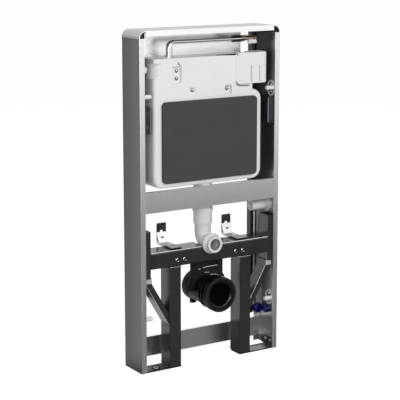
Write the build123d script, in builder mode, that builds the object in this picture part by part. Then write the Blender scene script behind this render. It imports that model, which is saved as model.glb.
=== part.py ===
"""Sanitary frame for a wall hung toilet: a slim housing that stands on the floor in front of a
wall, with a flat cistern in its upper half and the bearing steelwork, the flush bend and the
drain connector in its open lower half. The glass front is off, as when it is fitted.

Millimetres. The origin is on the floor, in the middle of the frame's width and of its depth with
the drain connector: +X to the right seen from the front, -Y to the room, +Z up.
"""
from build123d import *
import os
from math import atan2, cos, sqrt

os.makedirs("parts", exist_ok=True)

# Housing
housing_height = 1000.0
housing_width = 482.0
housing_depth = 101.0
sheet = 2.0
flange_width = 17.0
rear_flange_width = 19.0
corner_radius = 22.0
corner_block_inset = 8.0
apron_height = 15.4
fold_radius = 2.5

# Fixing centres on the wall side of the pan and the two outlets
stud_spacings = (180.0, 230.0)
stud_height = 327.0
stud_hole_diameter = 16.0
flush_height = 363.6
drain_height = 217.7

# Bearing bar
bar_height = 50.0
bar_below_studs = 18.5
bar_depth = 66.0
bar_wall = 3.0
flush_clearance = 1.5

# Uprights beside the bar
upright_width = 33.0
upright_depth = 52.0
upright_wall = 3.0
upright_below_bar = 25.5
upright_above_bar = 64.5

# Legs below the bar and the braces to them
leg_inner = 104.5
leg_width = 38.5
leg_depth = 55.0
leg_wall = 3.0
leg_plate = 4.0
brace_width = 17.0
brace_depth = 45.0
brace_setback = 6.0
brace_low_point = 150.0
brace_head_height = 17.0
brace_head_width = 21.0
brace_head_lap = 5.0
brace_edge = 1.0

# Foot plates
foot_thickness = 4.0
foot_depth = 49.0
foot_tab_height = 29.0
foot_tab_depth = 72.0
foot_hole_diameter = 9.0
foot_hole_from_panel = 58.5
foot_hole_from_front = 20.0
tab_hole_diameter = 7.0
tab_hole_depths = (22.0, 50.0)

# Wall brackets on top of the bar
bracket_width = 33.0
bracket_thickness = 5.0
bracket_plate_thickness = 3.0
bracket_height = 62.5
bracket_setback = 6.0
bracket_bend_radius = 12.0
bracket_corner = 4.0
bracket_hole_above_bar = 35.8
bracket_hole_diameter = 10.0
bracket_slot_above_bar = 15.0
bracket_slot_width = 14.0
bracket_slot_height = 5.0

# Sheet crossbars
front_bar_gap = 3.4
front_bar_height = 61.0
rear_bar_bottom = 21.0
rear_bar_height = 60.0
crossbar_sheet = 1.5
crossbar_lip = 15.0

# Rear rails
rail_width = 46.0
rail_depth = 20.0
rail_sheet = 1.5
rail_bottom = 99.0
rail_slot_width = 7.5
rail_slot_offset = 10.5

# Plate behind the apron
hanger_side_gap = 74.0
hanger_sheet = 1.5
hanger_below_top = 140.0

# Cistern
cistern_side_gap = 52.0
cistern_bottom = 541.0
cistern_below_top = 95.0
cistern_setback = 10.0
cistern_wall = 4.0
cistern_corner = 30.0
cistern_edge = 13.0
shoulder_below_neck = 93.0
neck_setback = 37.0
corner_cut_radius = 44.0
corner_cut_below_neck = 44.0
lid_thickness = 13.0
lid_corner = 6.0
lid_edge = 3.0

# Lines pressed into the cistern's front: left end, right end, distance below the neck's top
seam_width = 1.2
seam_depth = 0.8
seams = ((-101.0, 35.0, 11.0), (-47.0, 54.0, 91.5))

# Fixing pockets in the cistern's front: middle, width, middle below the neck's top, height, depth
pockets = (
    (-110.0, 30.0, 34.5, 47.0, 10.0),
    (-59.0, 21.0, 83.0, 19.0, 4.0),
    (66.0, 24.0, 88.0, 26.0, 12.0),
)

# Valve box at the upper right of the cistern
valve_box_side_gap = 34.0
valve_box_above_neck = 17.0
valve_box_height = 92.0
valve_box_lap = 59.0
valve_box_proud = 4.0
valve_box_depth = 48.0
valve_box_corner = 14.0
valve_box_bend = 16.0
valve_box_edge = 2.0
strap_offsets = (58.0, 26.0)
strap_top = 37.0
strap_straight = 43.0
strap_turn = 8.0
strap_width = 2.6
strap_depth = 1.2

# Insulating pad on the cistern
pad_side_gap = 24.0
pad_above_bottom = 16.0
pad_below_neck = 111.0
pad_thickness = 9.0
pad_corner = 13.0
pad_edge = 1.5

# Flush pipe
flush_setback = 48.0
flush_outer_radius = 24.5
flush_wall = 2.5
flush_bend_radius = 30.0
flush_straight = 23.4
flush_insert = 60.0
flush_proud = 21.0
flush_rim_radius = 17.5
flush_rim_length = 9.0
flush_socket_radius = 28.2
flush_collar_radius = 31.0
flush_collar_height = 10.0
flush_collar_rise = 38.0
bell_radius = 31.0
bell_lip = 3.0
bell_length = 11.0
bell_gap = 0.5

# Drain connector
drain_proud = 52.0
drain_back = 6.0
drain_rear_radius = 46.5
drain_rear_length = 22.0
drain_body_radius = 45.0
drain_bore_radius = 42.0
drain_mouth_radius = 53.0
drain_mouth_length = 18.0
drain_rib_radius = 51.0
drain_rib_thickness = 4.0
drain_rib_pitch = 14.0
drain_rib_gap = 5.0
drain_rib_count = 2
seal_pocket_radius = 46.0
seal_pocket_length = 16.0
seal_radius = 39.0
seal_length = 10.0
seal_setback = 2.0
drain_clip_width = 15.0
drain_clip_offset = -11.0
drain_clip_drop = 10.0
drain_clip_length = 14.0

# Drain holder
holder_half_width = 57.0
holder_ring_radius = 71.0
holder_thickness = 3.0
holder_setback = 25.0
holder_slot_width = 27.0
holder_slot_height = 20.0
holder_slot_offset = 24.0
holder_slot_below_bar = 12.5
holder_lip_width = 62.0
holder_lip_offset = 7.0
holder_lip_reach = 6.0
holder_lip_height = 2.0
holder_lip_below_bar = 25.0

# Hooks for the front panel: height of the lower pins and distance of the upper ones below the top
lower_pin_height = 161.0
upper_pin_below_top = 187.0
hook_ring_drop = 5.0
hook_base_height = 48.0
hook_base_width = 34.0
hook_base_setback = 26.0
hook_base_thickness = 3.0
hook_rim_width = 4.0
hook_rim_height = 6.0
hook_arm_height = 20.0
hook_arm_thickness = 8.0
hook_arm_shoulder = 1.0
hook_reach = 40.0
hook_pin_radius = 6.5
hook_pin_setback = 8.0
hook_arm_corner = 2.0
hook_pin_tip = 1.5

# Dark clamps on the side panels
clamp_reach = 36.0
clamp_setback = 2.0
clamp_depth = 37.0
clamp_below_top = 217.0
clamp_height = 75.0
clamp_corner = 1.5
clamp_recess_margin = 7.0
clamp_recess_depth = 2.0

# Water supply at the top
supply_below_top = 39.5
supply_depth = 50.0
supply_elbow_inset = 72.5
supply_elbow_radius = 10.5
supply_collar_radius = 12.5
supply_collar_height = 7.0
elbow_bend_radius = 16.0
elbow_middle_radius = 8.3
supply_pipe_radius = 5.8
supply_wall = 1.5
pipe_end_from_panel = 106.0
clip_outer_radius = 9.6
clip_length = 29.0
clip_mouth = 7.0
valve_ring_radius = 9.6
valve_ring_length = 11.0
valve_ring_sides = 12
valve_body_radius = 7.0
valve_body_length = 43.0
knob_radius = 6.5
knob_length = 26.0
knob_drop = 9.5
knob_neck = 6.0
knob_gap_to_end = 6.0
knob_ribs = 10

# Side feed-through and the two protective caps
feed_height = 449.0
feed_depth = 48.0
feed_radius = 15.5
feed_wall = 2.5
feed_reach = 65.0
feed_flange_radius = 22.0
feed_flange_thickness = 6.0
cap_radius = 15.0
cap_length = 17.0
cap_slope = 4.0
cap_from_panel = 22.0
cap_above_rail = 16.0
panel_cap_radius = 12.5
panel_cap_depth = 55.0
panel_cap_height = 115.5

# Values that follow from the driving dimensions
half_width = housing_width / 2
inner_face = half_width - sheet
front_back_face = housing_depth - sheet
panel_top = housing_height - corner_radius
cover_half_width = half_width - corner_radius
bar_bottom = stud_height - bar_below_studs
bar_top = bar_bottom + bar_height
bar_half_length = inner_face - upright_width
upright_bottom = bar_bottom - upright_below_bar
upright_top = bar_top + upright_above_bar
leg_outer = leg_inner + leg_width
bracket_centre = stud_spacings[1] / 2
cistern_half_width = inner_face - cistern_side_gap
cistern_top = housing_height - cistern_below_top
cistern_back = sheet + hanger_sheet
neck_right = cistern_half_width - neck_setback
neck_centre = (neck_right - cistern_half_width) / 2
neck_width = neck_right + cistern_half_width
lid_top = cistern_top + lid_thickness
front_bar_bottom = cistern_bottom - front_bar_gap - front_bar_height
flush_socket_bottom = flush_height + flush_bend_radius + flush_straight
supply_height = housing_height - supply_below_top
supply_elbow_x = supply_elbow_inset - cistern_half_width
pipe_end = inner_face - pipe_end_from_panel
upper_pin_height = housing_height - upper_pin_below_top
bracket_reach = front_back_face - bracket_setback
cistern_front = front_back_face - cistern_setback
flush_axis_depth = front_back_face - flush_setback
flush_reach = housing_depth + flush_proud
drain_reach = housing_depth + drain_proud
drain_rib_start = front_back_face + drain_rib_gap
holder_front = front_back_face - holder_setback
hook_pin_depth = front_back_face - hook_pin_setback
hook_base_depth = hook_pin_depth - hook_base_setback
clamp_front = front_back_face - clamp_setback
wall = drain_reach / 2


def level(height):
    """Horizontal sketch plane, with its origin in the wall plane and -Y to the room."""
    return Plane(origin=(0, wall, height), x_dir=(1, 0, 0), z_dir=(0, 0, 1))


def section(across):
    """Upright sketch plane square to X: its first axis is Y from the wall, its second is Z."""
    return Plane(origin=(across, wall, 0), x_dir=(0, 1, 0), z_dir=(1, 0, 0))


def elevation(depth):
    """Upright sketch plane parallel to the wall, its normal to the room."""
    return Plane.XZ.offset(depth - wall)


def side_panel(side, feed_hole):
    """A bent sheet with a flange along its front and its rear edge."""
    with BuildPart() as panel:
        with BuildSketch(level(0)):
            with BuildLine():
                Polyline(
                    (side * half_width, 0),
                    (side * half_width, -housing_depth),
                    (side * (half_width - flange_width), -housing_depth),
                    (side * (half_width - flange_width), -front_back_face),
                    (side * inner_face, -front_back_face),
                    (side * inner_face, -sheet),
                    (side * (half_width - rear_flange_width), -sheet),
                    (side * (half_width - rear_flange_width), 0),
                    close=True,
                )
            make_face()
        extrude(amount=panel_top)
        outer_folds = panel.edges().filter_by(Axis.Z).group_by(Axis.X)[-1 if side > 0 else 0]
        fillet(outer_folds, fold_radius)
        if feed_hole:
            with BuildSketch(section(side * half_width)):
                with Locations((-feed_depth, feed_height)):
                    Circle(feed_radius - feed_wall)
            extrude(amount=-side * 2 * sheet, mode=Mode.SUBTRACT)
    return panel


right_side_panel = side_panel(1, True)
right_side_panel.part.label = "right_side_panel"
export_step(right_side_panel.part, "parts/right_side_panel.step")

left_side_panel = side_panel(-1, False)
left_side_panel.part.label = "left_side_panel"
export_step(left_side_panel.part, "parts/left_side_panel.step")

# Top cover: flat on top, rounded down to the side panels, with an apron front and rear
with BuildPart() as top_cover:
    with BuildSketch(elevation(0)):
        with BuildLine():
            Line((-cover_half_width, housing_height), (cover_half_width, housing_height))
            CenterArc((cover_half_width, panel_top), corner_radius, 0, 90)
            Line((half_width, panel_top), (inner_face, panel_top))
            CenterArc((cover_half_width, panel_top), corner_radius - sheet, 0, 90)
            Line((cover_half_width, housing_height - sheet), (-cover_half_width, housing_height - sheet))
            CenterArc((-cover_half_width, panel_top), corner_radius - sheet, 90, 90)
            Line((-inner_face, panel_top), (-half_width, panel_top))
            CenterArc((-cover_half_width, panel_top), corner_radius, 90, 90)
        make_face()
    extrude(amount=housing_depth)
    with BuildSketch(elevation(front_back_face)):
        with Locations((0, housing_height - apron_height / 2)):
            Rectangle(2 * cover_half_width, apron_height)
    extrude(amount=sheet)
    with BuildSketch(elevation(0)):
        with Locations((0, housing_height - apron_height / 2)):
            Rectangle(2 * cover_half_width, apron_height)
    extrude(amount=sheet)
top_cover.part.label = "top_cover"
export_step(top_cover.part, "parts/top_cover.step")


def corner_block(side):
    """Plastic block that fills the rounded corner behind its open front."""
    with BuildPart() as block:
        with BuildSketch(elevation(corner_block_inset)):
            with BuildLine():
                start = 0 if side > 0 else 90
                radius = corner_radius - sheet
                CenterArc((side * cover_half_width, panel_top), radius, start, 90)
                Line((side * inner_face, panel_top), (side * cover_half_width, panel_top))
                Line(
                    (side * cover_half_width, panel_top),
                    (side * cover_half_width, housing_height - sheet),
                )
            make_face()
        extrude(amount=housing_depth - 2 * corner_block_inset)
    return block


right_corner_block = corner_block(1)
right_corner_block.part.label = "right_corner_block"
export_step(right_corner_block.part, "parts/right_corner_block.step")

left_corner_block = corner_block(-1)
left_corner_block.part.label = "left_corner_block"
export_step(left_corner_block.part, "parts/left_corner_block.step")

# Plate behind the apron that the cistern hangs on
hanger_bottom = housing_height - hanger_below_top
with BuildPart() as hanger_plate:
    with BuildSketch(elevation(sheet)):
        with Locations((0, (hanger_bottom + housing_height - sheet) / 2)):
            Rectangle(2 * (inner_face - hanger_side_gap), housing_height - sheet - hanger_bottom)
    extrude(amount=hanger_sheet)
hanger_plate.part.label = "hanger_plate"
export_step(hanger_plate.part, "parts/hanger_plate.step")


def rear_rail(side):
    """Folded rail along the rear of a side panel, with a slot down its front."""
    outer = inner_face
    inner = inner_face - rail_width
    slot_start = inner + rail_slot_offset
    slot_end = slot_start + rail_slot_width
    rail_back = sheet
    rail_front = sheet + rail_depth
    with BuildPart() as rail:
        with BuildSketch(level(rail_bottom)):
            with BuildLine():
                Polyline(
                    (side * slot_start, -rail_front),
                    (side * inner, -rail_front),
                    (side * inner, -rail_back),
                    (side * outer, -rail_back),
                    (side * outer, -rail_front),
                    (side * slot_end, -rail_front),
                    (side * slot_end, -rail_front + rail_sheet),
                    (side * (outer - rail_sheet), -rail_front + rail_sheet),
                    (side * (outer - rail_sheet), -rail_back - rail_sheet),
                    (side * (inner + rail_sheet), -rail_back - rail_sheet),
                    (side * (inner + rail_sheet), -rail_front + rail_sheet),
                    (side * slot_start, -rail_front + rail_sheet),
                    close=True,
                )
            make_face()
        extrude(amount=panel_top - rail_bottom)
    return rail


right_rear_rail = rear_rail(1)
right_rear_rail.part.label = "right_rear_rail"
export_step(right_rear_rail.part, "parts/right_rear_rail.step")

left_rear_rail = rear_rail(-1)
left_rear_rail.part.label = "left_rear_rail"
export_step(left_rear_rail.part, "parts/left_rear_rail.step")


def lipped_bar(bottom, height, front):
    """Sheet crossbar between the side panels, its two lips folded back toward the wall."""
    top = bottom + height
    web = front + crossbar_sheet
    lip = front + crossbar_lip
    with BuildPart() as crossbar:
        with BuildSketch(section(-inner_face)):
            with BuildLine():
                Polyline(
                    (front, bottom),
                    (front, top),
                    (lip, top),
                    (lip, top - crossbar_sheet),
                    (web, top - crossbar_sheet),
                    (web, bottom + crossbar_sheet),
                    (lip, bottom + crossbar_sheet),
                    (lip, bottom),
                    close=True,
                )
            make_face()
        extrude(amount=2 * inner_face)
    return crossbar


front_crossbar = lipped_bar(front_bar_bottom, front_bar_height, -front_back_face)
front_crossbar.part.label = "front_crossbar"
export_step(front_crossbar.part, "parts/front_crossbar.step")

rear_crossbar = lipped_bar(rear_bar_bottom, rear_bar_height, -sheet - crossbar_lip)
rear_crossbar.part.label = "rear_crossbar"
export_step(rear_crossbar.part, "parts/rear_crossbar.step")

# Bearing bar: box tube with the stud holes and a cradle cut for the flush bend
with BuildPart() as bearing_bar:
    with BuildSketch(section(-bar_half_length)):
        with Locations((-front_back_face + bar_depth / 2, bar_bottom + bar_height / 2)):
            RectangleRounded(bar_depth, bar_height, 2 * bar_wall)
            RectangleRounded(
                bar_depth - 2 * bar_wall, bar_height - 2 * bar_wall, bar_wall, mode=Mode.SUBTRACT
            )
    extrude(amount=2 * bar_half_length)
    with BuildSketch(elevation(front_back_face + 1)):
        for spacing in stud_spacings:
            with Locations((-spacing / 2, stud_height), (spacing / 2, stud_height)):
                Circle(stud_hole_diameter / 2)
    extrude(amount=-(bar_wall + 1), mode=Mode.SUBTRACT)
    with BuildSketch(elevation(front_back_face + 1)):
        with Locations((0, flush_height)):
            Circle(flush_outer_radius + flush_clearance)
    extrude(amount=-(bar_depth + 2), mode=Mode.SUBTRACT)
bearing_bar.part.label = "bearing_bar"
export_step(bearing_bar.part, "parts/bearing_bar.step")


def upright(side):
    """Rectangular tube beside the bearing bar, open at the top, fixed to the side panel."""
    centre = (side * (inner_face - upright_width / 2), -front_back_face + upright_depth / 2)
    with BuildPart() as tube:
        with BuildSketch(level(upright_bottom)):
            with Locations(centre):
                RectangleRounded(upright_width, upright_depth, upright_wall)
                RectangleRounded(
                    upright_width - 2 * upright_wall,
                    upright_depth - 2 * upright_wall,
                    upright_wall / 2,
                    mode=Mode.SUBTRACT,
                )
        extrude(amount=upright_top - upright_bottom)
        with BuildSketch(level(upright_bottom)):
            with Locations(centre):
                RectangleRounded(upright_width, upright_depth, upright_wall)
        extrude(amount=upright_wall)
    return tube


right_upright = upright(1)
right_upright.part.label = "right_upright"
export_step(right_upright.part, "parts/right_upright.step")

left_upright = upright(-1)
left_upright.part.label = "left_upright"
export_step(left_upright.part, "parts/left_upright.step")


def leg(side):
    """Leg tube under the bearing bar, closed by a plate at its top."""
    centre = (side * (leg_inner + leg_width / 2), -front_back_face + leg_depth / 2)
    with BuildPart() as post:
        with BuildSketch(level(foot_thickness)):
            with Locations(centre):
                RectangleRounded(leg_width, leg_depth, leg_wall)
                RectangleRounded(
                    leg_width - 2 * leg_wall,
                    leg_depth - 2 * leg_wall,
                    leg_wall / 2,
                    mode=Mode.SUBTRACT,
                )
        extrude(amount=bar_bottom - foot_thickness)
        with BuildSketch(level(bar_bottom - leg_plate)):
            with Locations(centre):
                RectangleRounded(leg_width, leg_depth, leg_wall)
        extrude(amount=leg_plate)
    return post


right_leg = leg(1)
right_leg.part.label = "right_leg"
export_step(right_leg.part, "parts/right_leg.step")

left_leg = leg(-1)
left_leg.part.label = "left_leg"
export_step(left_leg.part, "parts/left_leg.step")


def brace(side):
    """Flat bar that runs from under the upright down to the outer face of the leg."""
    head_bottom = upright_bottom - brace_head_height
    head_inner = bar_half_length - brace_head_lap
    head_outer = head_inner + brace_head_width
    run = (head_inner + head_outer) / 2 - leg_outer
    tilt = atan2(head_bottom - brace_low_point, run)
    rise_half = brace_width / 2 / cos(tilt)
    with BuildPart() as strut:
        with BuildSketch(elevation(front_back_face - brace_setback)):
            with BuildLine():
                Polyline(
                    (side * head_inner, upright_bottom),
                    (side * head_outer, upright_bottom),
                    (side * head_outer, head_bottom),
                    (side * leg_outer, brace_low_point - rise_half),
                    (side * leg_outer, brace_low_point + rise_half),
                    (side * head_inner, head_bottom),
                    close=True,
                )
            make_face()
        extrude(amount=-brace_depth)
        fillet(strut.edges().filter_by(Axis.Y), brace_edge)
    return strut


right_brace = brace(1)
right_brace.part.label = "right_brace"
export_step(right_brace.part, "parts/right_brace.step")

left_brace = brace(-1)
left_brace.part.label = "left_brace"
export_step(left_brace.part, "parts/left_brace.step")


def foot_plate(side):
    """Floor plate under a leg with a turned-up tab that is fixed to the side panel."""
    with BuildPart() as foot:
        with BuildSketch(level(0)):
            with Locations((side * (leg_inner + inner_face) / 2, -front_back_face + foot_depth / 2)):
                Rectangle(inner_face - leg_inner, foot_depth)
        extrude(amount=foot_thickness)
        with BuildSketch(section(side * inner_face)):
            with BuildLine():
                Polyline(
                    (-front_back_face, 0),
                    (-front_back_face, foot_tab_height),
                    (-front_back_face + foot_depth, foot_tab_height),
                    (-front_back_face + foot_tab_depth, foot_tab_height / 2),
                    (-front_back_face + foot_tab_depth, 0),
                    close=True,
                )
            make_face()
            for depth in tab_hole_depths:
                with Locations((-front_back_face + depth, (foot_tab_height + foot_thickness) / 2)):
                    Circle(tab_hole_diameter / 2, mode=Mode.SUBTRACT)
        extrude(amount=-side * foot_thickness)
        with BuildSketch(level(0)):
            hole_x = side * (inner_face - foot_hole_from_panel)
            with Locations((hole_x, -front_back_face + foot_hole_from_front)):
                Circle(foot_hole_diameter / 2)
        extrude(amount=foot_thickness, mode=Mode.SUBTRACT)
    return foot


right_foot_plate = foot_plate(1)
right_foot_plate.part.label = "right_foot_plate"
export_step(right_foot_plate.part, "parts/right_foot_plate.step")

left_foot_plate = foot_plate(-1)
left_foot_plate.part.label = "left_foot_plate"
export_step(left_foot_plate.part, "parts/left_foot_plate.step")


def wall_bracket(side):
    """Angle bracket that lies on the bearing bar and stands against the wall, bent with a radius."""
    plate_top = bar_top + bracket_height
    arm_top = bar_top + bracket_thickness
    with BuildPart() as bracket:
        with BuildSketch(section(side * bracket_centre - bracket_width / 2)):
            with BuildLine():
                Polyline(
                    (0, bar_top),
                    (0, plate_top),
                    (-bracket_plate_thickness, plate_top),
                    (-bracket_plate_thickness, arm_top),
                    (-bracket_reach, arm_top),
                    (-bracket_reach, bar_top),
                    close=True,
                )
            make_face()
        extrude(amount=bracket_width)
        inner_bend = (side * bracket_centre, wall - bracket_plate_thickness, arm_top)
        fillet(bracket.edges().filter_by(Axis.X).sort_by_distance(inner_bend)[0], bracket_bend_radius)
        with BuildSketch(elevation(0)):
            with Locations((side * bracket_centre, bar_top + bracket_hole_above_bar)):
                Circle(bracket_hole_diameter / 2)
            with Locations((side * bracket_centre, bar_top + bracket_slot_above_bar)):
                SlotOverall(bracket_slot_width, bracket_slot_height)
        extrude(amount=bracket_plate_thickness + bracket_bend_radius, mode=Mode.SUBTRACT)
        top_corners = bracket.edges().filter_by(Axis.Y).group_by(Axis.Z)[-1]
        fillet(top_corners, bracket_corner)
    return bracket


right_wall_bracket = wall_bracket(1)
right_wall_bracket.part.label = "right_wall_bracket"
export_step(right_wall_bracket.part, "parts/right_wall_bracket.step")

left_wall_bracket = wall_bracket(-1)
left_wall_bracket.part.label = "left_wall_bracket"
export_step(left_wall_bracket.part, "parts/left_wall_bracket.step")

# Outline of the cistern seen from the front: rounded at the foot and at the right shoulder, with
# a narrower neck above it
shoulder_height = cistern_top - shoulder_below_neck
with BuildLine() as cistern_outline:
    FilletPolyline(
        (-cistern_half_width, cistern_top),
        (-cistern_half_width, cistern_bottom),
        (cistern_half_width, cistern_bottom),
        (cistern_half_width, shoulder_height),
        (neck_right, shoulder_height),
        radius=cistern_corner,
    )
    Polyline((neck_right, shoulder_height), (neck_right, cistern_top), (-cistern_half_width, cistern_top))

# Cistern body: a flat hollow tank, its front edge rounded up both sides and over the shoulder.
# Its upper left corner is rounded further back, and its front has fixing pockets and seams.
corner_cut_bottom = cistern_top - corner_cut_below_neck
corner_x = -cistern_half_width
corner_centre = (corner_x + corner_cut_radius, -cistern_front + corner_cut_radius)
with BuildPart() as cistern_body:
    with BuildSketch(elevation(cistern_back)):
        make_face(cistern_outline.edges())
    extrude(amount=cistern_front - cistern_back)
    front_foot = cistern_body.faces().sort_by(Axis.Y)[0].edges().sort_by(Axis.Z)[0]
    fillet(front_foot, cistern_edge)
    neck_mouth = cistern_body.faces().sort_by(Axis.Z)[-1]
    offset(amount=-cistern_wall, openings=neck_mouth, kind=Kind.INTERSECTION)
    with BuildSketch(level(corner_cut_bottom - cistern_wall)):
        with Locations((corner_x + cistern_wall, -cistern_front + cistern_wall)):
            fill = corner_cut_radius - 2 * cistern_wall
            Rectangle(fill, fill, align=(Align.MIN, Align.MIN))
    extrude(amount=corner_cut_below_neck + cistern_wall)
    with BuildSketch(level(corner_cut_bottom)):
        with BuildLine():
            Line((corner_x - 1, corner_centre[1]), (corner_x, corner_centre[1]))
            CenterArc(corner_centre, corner_cut_radius, 180, 90)
            Line((corner_centre[0], -cistern_front), (corner_centre[0], -cistern_front - 1))
            Polyline(
                (corner_centre[0], -cistern_front - 1),
                (corner_x - 1, -cistern_front - 1),
                (corner_x - 1, corner_centre[1]),
            )
        make_face()
    extrude(amount=corner_cut_below_neck, mode=Mode.SUBTRACT)
    for middle, width, below, height, depth in pockets:
        with BuildSketch(elevation(cistern_front - cistern_wall)):
            with Locations((middle, cistern_top - below)):
                Rectangle(width + 2 * cistern_wall, height + 2 * cistern_wall)
        extrude(amount=-depth)
        with BuildSketch(elevation(cistern_front)):
            with Locations((middle, cistern_top - below)):
                Rectangle(width, height)
        extrude(amount=-depth, mode=Mode.SUBTRACT)
    for left, right, below in seams:
        with BuildSketch(elevation(cistern_front)):
            with Locations(((left + right) / 2, cistern_top - below)):
                Rectangle(right - left, seam_width)
        extrude(amount=-seam_depth, mode=Mode.SUBTRACT)
cistern_body.part.label = "cistern_body"
export_step(cistern_body.part, "parts/cistern_body.step")

# Lid on the neck of the cistern
with BuildPart() as cistern_lid:
    with BuildSketch(level(cistern_top)):
        with Locations((neck_centre, -(cistern_front + cistern_back) / 2)):
            RectangleRounded(neck_width, cistern_front - cistern_back, lid_corner)
    extrude(amount=lid_thickness)
    fillet(cistern_lid.edges().group_by(Axis.Z)[-1], lid_edge)
cistern_lid.part.label = "cistern_lid"
export_step(cistern_lid.part, "parts/cistern_lid.step")

# Valve box: hangs over the right shoulder beside the neck, with a flap in front of the neck
# and two strap lines pressed into its front
valve_box_front = cistern_front + valve_box_proud
valve_box_right = inner_face - valve_box_side_gap
valve_box_top = cistern_top + valve_box_above_neck
valve_box_bottom = valve_box_top - valve_box_height
valve_box_left = neck_right - valve_box_lap
valve_box_back = valve_box_front - valve_box_depth
with BuildPart() as valve_box:
    with BuildSketch(level(valve_box_bottom)):
        with BuildLine():
            FilletPolyline(
                (neck_right, -valve_box_front),
                (valve_box_right, -valve_box_front),
                (valve_box_right, -valve_box_back),
                radius=valve_box_bend,
            )
            Polyline(
                (valve_box_right, -valve_box_back),
                (neck_right, -valve_box_back),
                (neck_right, -cistern_front),
                (valve_box_left, -cistern_front),
                (valve_box_left, -valve_box_front),
                (neck_right, -valve_box_front),
            )
        make_face()
    extrude(amount=valve_box_height)
    with BuildSketch(elevation(valve_box_back)) as valve_box_face:
        with Locations(((valve_box_left + valve_box_right) / 2, (valve_box_bottom + valve_box_top) / 2)):
            Rectangle(valve_box_right - valve_box_left, valve_box_height)
        lower_corners = valve_box_face.vertices().group_by(Axis.Y)[0]
        fillet(lower_corners.sort_by(Axis.X)[-1], valve_box_corner)
    extrude(amount=valve_box_depth, mode=Mode.INTERSECT)
    front_edges = valve_box.faces().sort_by(Axis.Y)[0].edges().sort_by(Axis.X)[:-1]
    fillet(front_edges, valve_box_edge)
    with BuildSketch(elevation(valve_box_front)):
        for offset_from_right in strap_offsets:
            strap_x = valve_box_right - offset_from_right
            bend_height = valve_box_top - strap_top - strap_straight
            with BuildLine():
                Line((strap_x, valve_box_top - strap_top), (strap_x, bend_height))
                JernArc((strap_x, bend_height), (0, -1), strap_turn, 60)
            trace(line_width=strap_width)
    extrude(amount=-strap_depth, mode=Mode.SUBTRACT)
valve_box.part.label = "valve_box"
export_step(valve_box.part, "parts/valve_box.step")

# Insulating pad stuck to the front of the cistern
pad_bottom = cistern_bottom + pad_above_bottom
pad_top = cistern_top - pad_below_neck
with BuildPart() as cistern_pad:
    with BuildSketch(elevation(cistern_front)):
        with Locations((0, (pad_bottom + pad_top) / 2)):
            RectangleRounded(2 * (cistern_half_width - pad_side_gap), pad_top - pad_bottom, pad_corner)
    extrude(amount=pad_thickness)
    fillet(cistern_pad.faces().sort_by(Axis.Y)[0].edges(), pad_edge)
cistern_pad.part.label = "cistern_pad"
export_step(cistern_pad.part, "parts/cistern_pad.step")

# Flush socket between the cistern and the bend, with a collar around it
with BuildPart() as flush_socket:
    with BuildSketch(level(flush_socket_bottom)):
        with Locations((0, -flush_axis_depth)):
            Circle(flush_socket_radius)
            Circle(flush_outer_radius, mode=Mode.SUBTRACT)
    extrude(amount=cistern_bottom - flush_socket_bottom)
    with BuildSketch(level(flush_socket_bottom + flush_collar_rise)):
        with Locations((0, -flush_axis_depth)):
            Circle(flush_collar_radius)
            Circle(flush_outer_radius, mode=Mode.SUBTRACT)
    extrude(amount=flush_collar_height)
flush_socket.part.label = "flush_socket"
export_step(flush_socket.part, "parts/flush_socket.step")

# Flush bend: down from the socket and forward through the bearing bar, with a bell-shaped lip
# in front of the bar and a thicker rim that takes the pan's spigot
flush_top = flush_socket_bottom + flush_insert
bend_end_y = -flush_axis_depth - flush_bend_radius
bell_back = front_back_face + bell_gap
with BuildPart() as flush_bend:
    with BuildLine(section(0)):
        Line((-flush_axis_depth, flush_top), (-flush_axis_depth, flush_height + flush_bend_radius))
        CenterArc((bend_end_y, flush_height + flush_bend_radius), flush_bend_radius, 0, -90)
        Line((bend_end_y, flush_height), (-flush_reach, flush_height))
    with BuildSketch(level(flush_top)):
        with Locations((0, -flush_axis_depth)):
            Circle(flush_outer_radius)
            Circle(flush_outer_radius - flush_wall, mode=Mode.SUBTRACT)
    sweep()
    with BuildSketch(elevation(flush_reach - flush_rim_length)):
        with Locations((0, flush_height)):
            Circle(flush_outer_radius)
            Circle(flush_rim_radius, mode=Mode.SUBTRACT)
    extrude(amount=flush_rim_length)
    with BuildSketch(section(0)):
        with BuildLine():
            Polyline(
                (-bell_back, flush_height + flush_outer_radius - flush_wall / 2),
                (-bell_back, flush_height + bell_radius),
                (-bell_back - bell_lip, flush_height + bell_radius),
                (-bell_back - bell_length, flush_height + flush_outer_radius),
                (-bell_back - bell_length, flush_height + flush_outer_radius - flush_wall / 2),
                close=True,
            )
        make_face()
    revolve(axis=Axis((0, 0, flush_height), (0, 1, 0)))
flush_bend.part.label = "flush_bend"
export_step(flush_bend.part, "parts/flush_bend.step")

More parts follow.
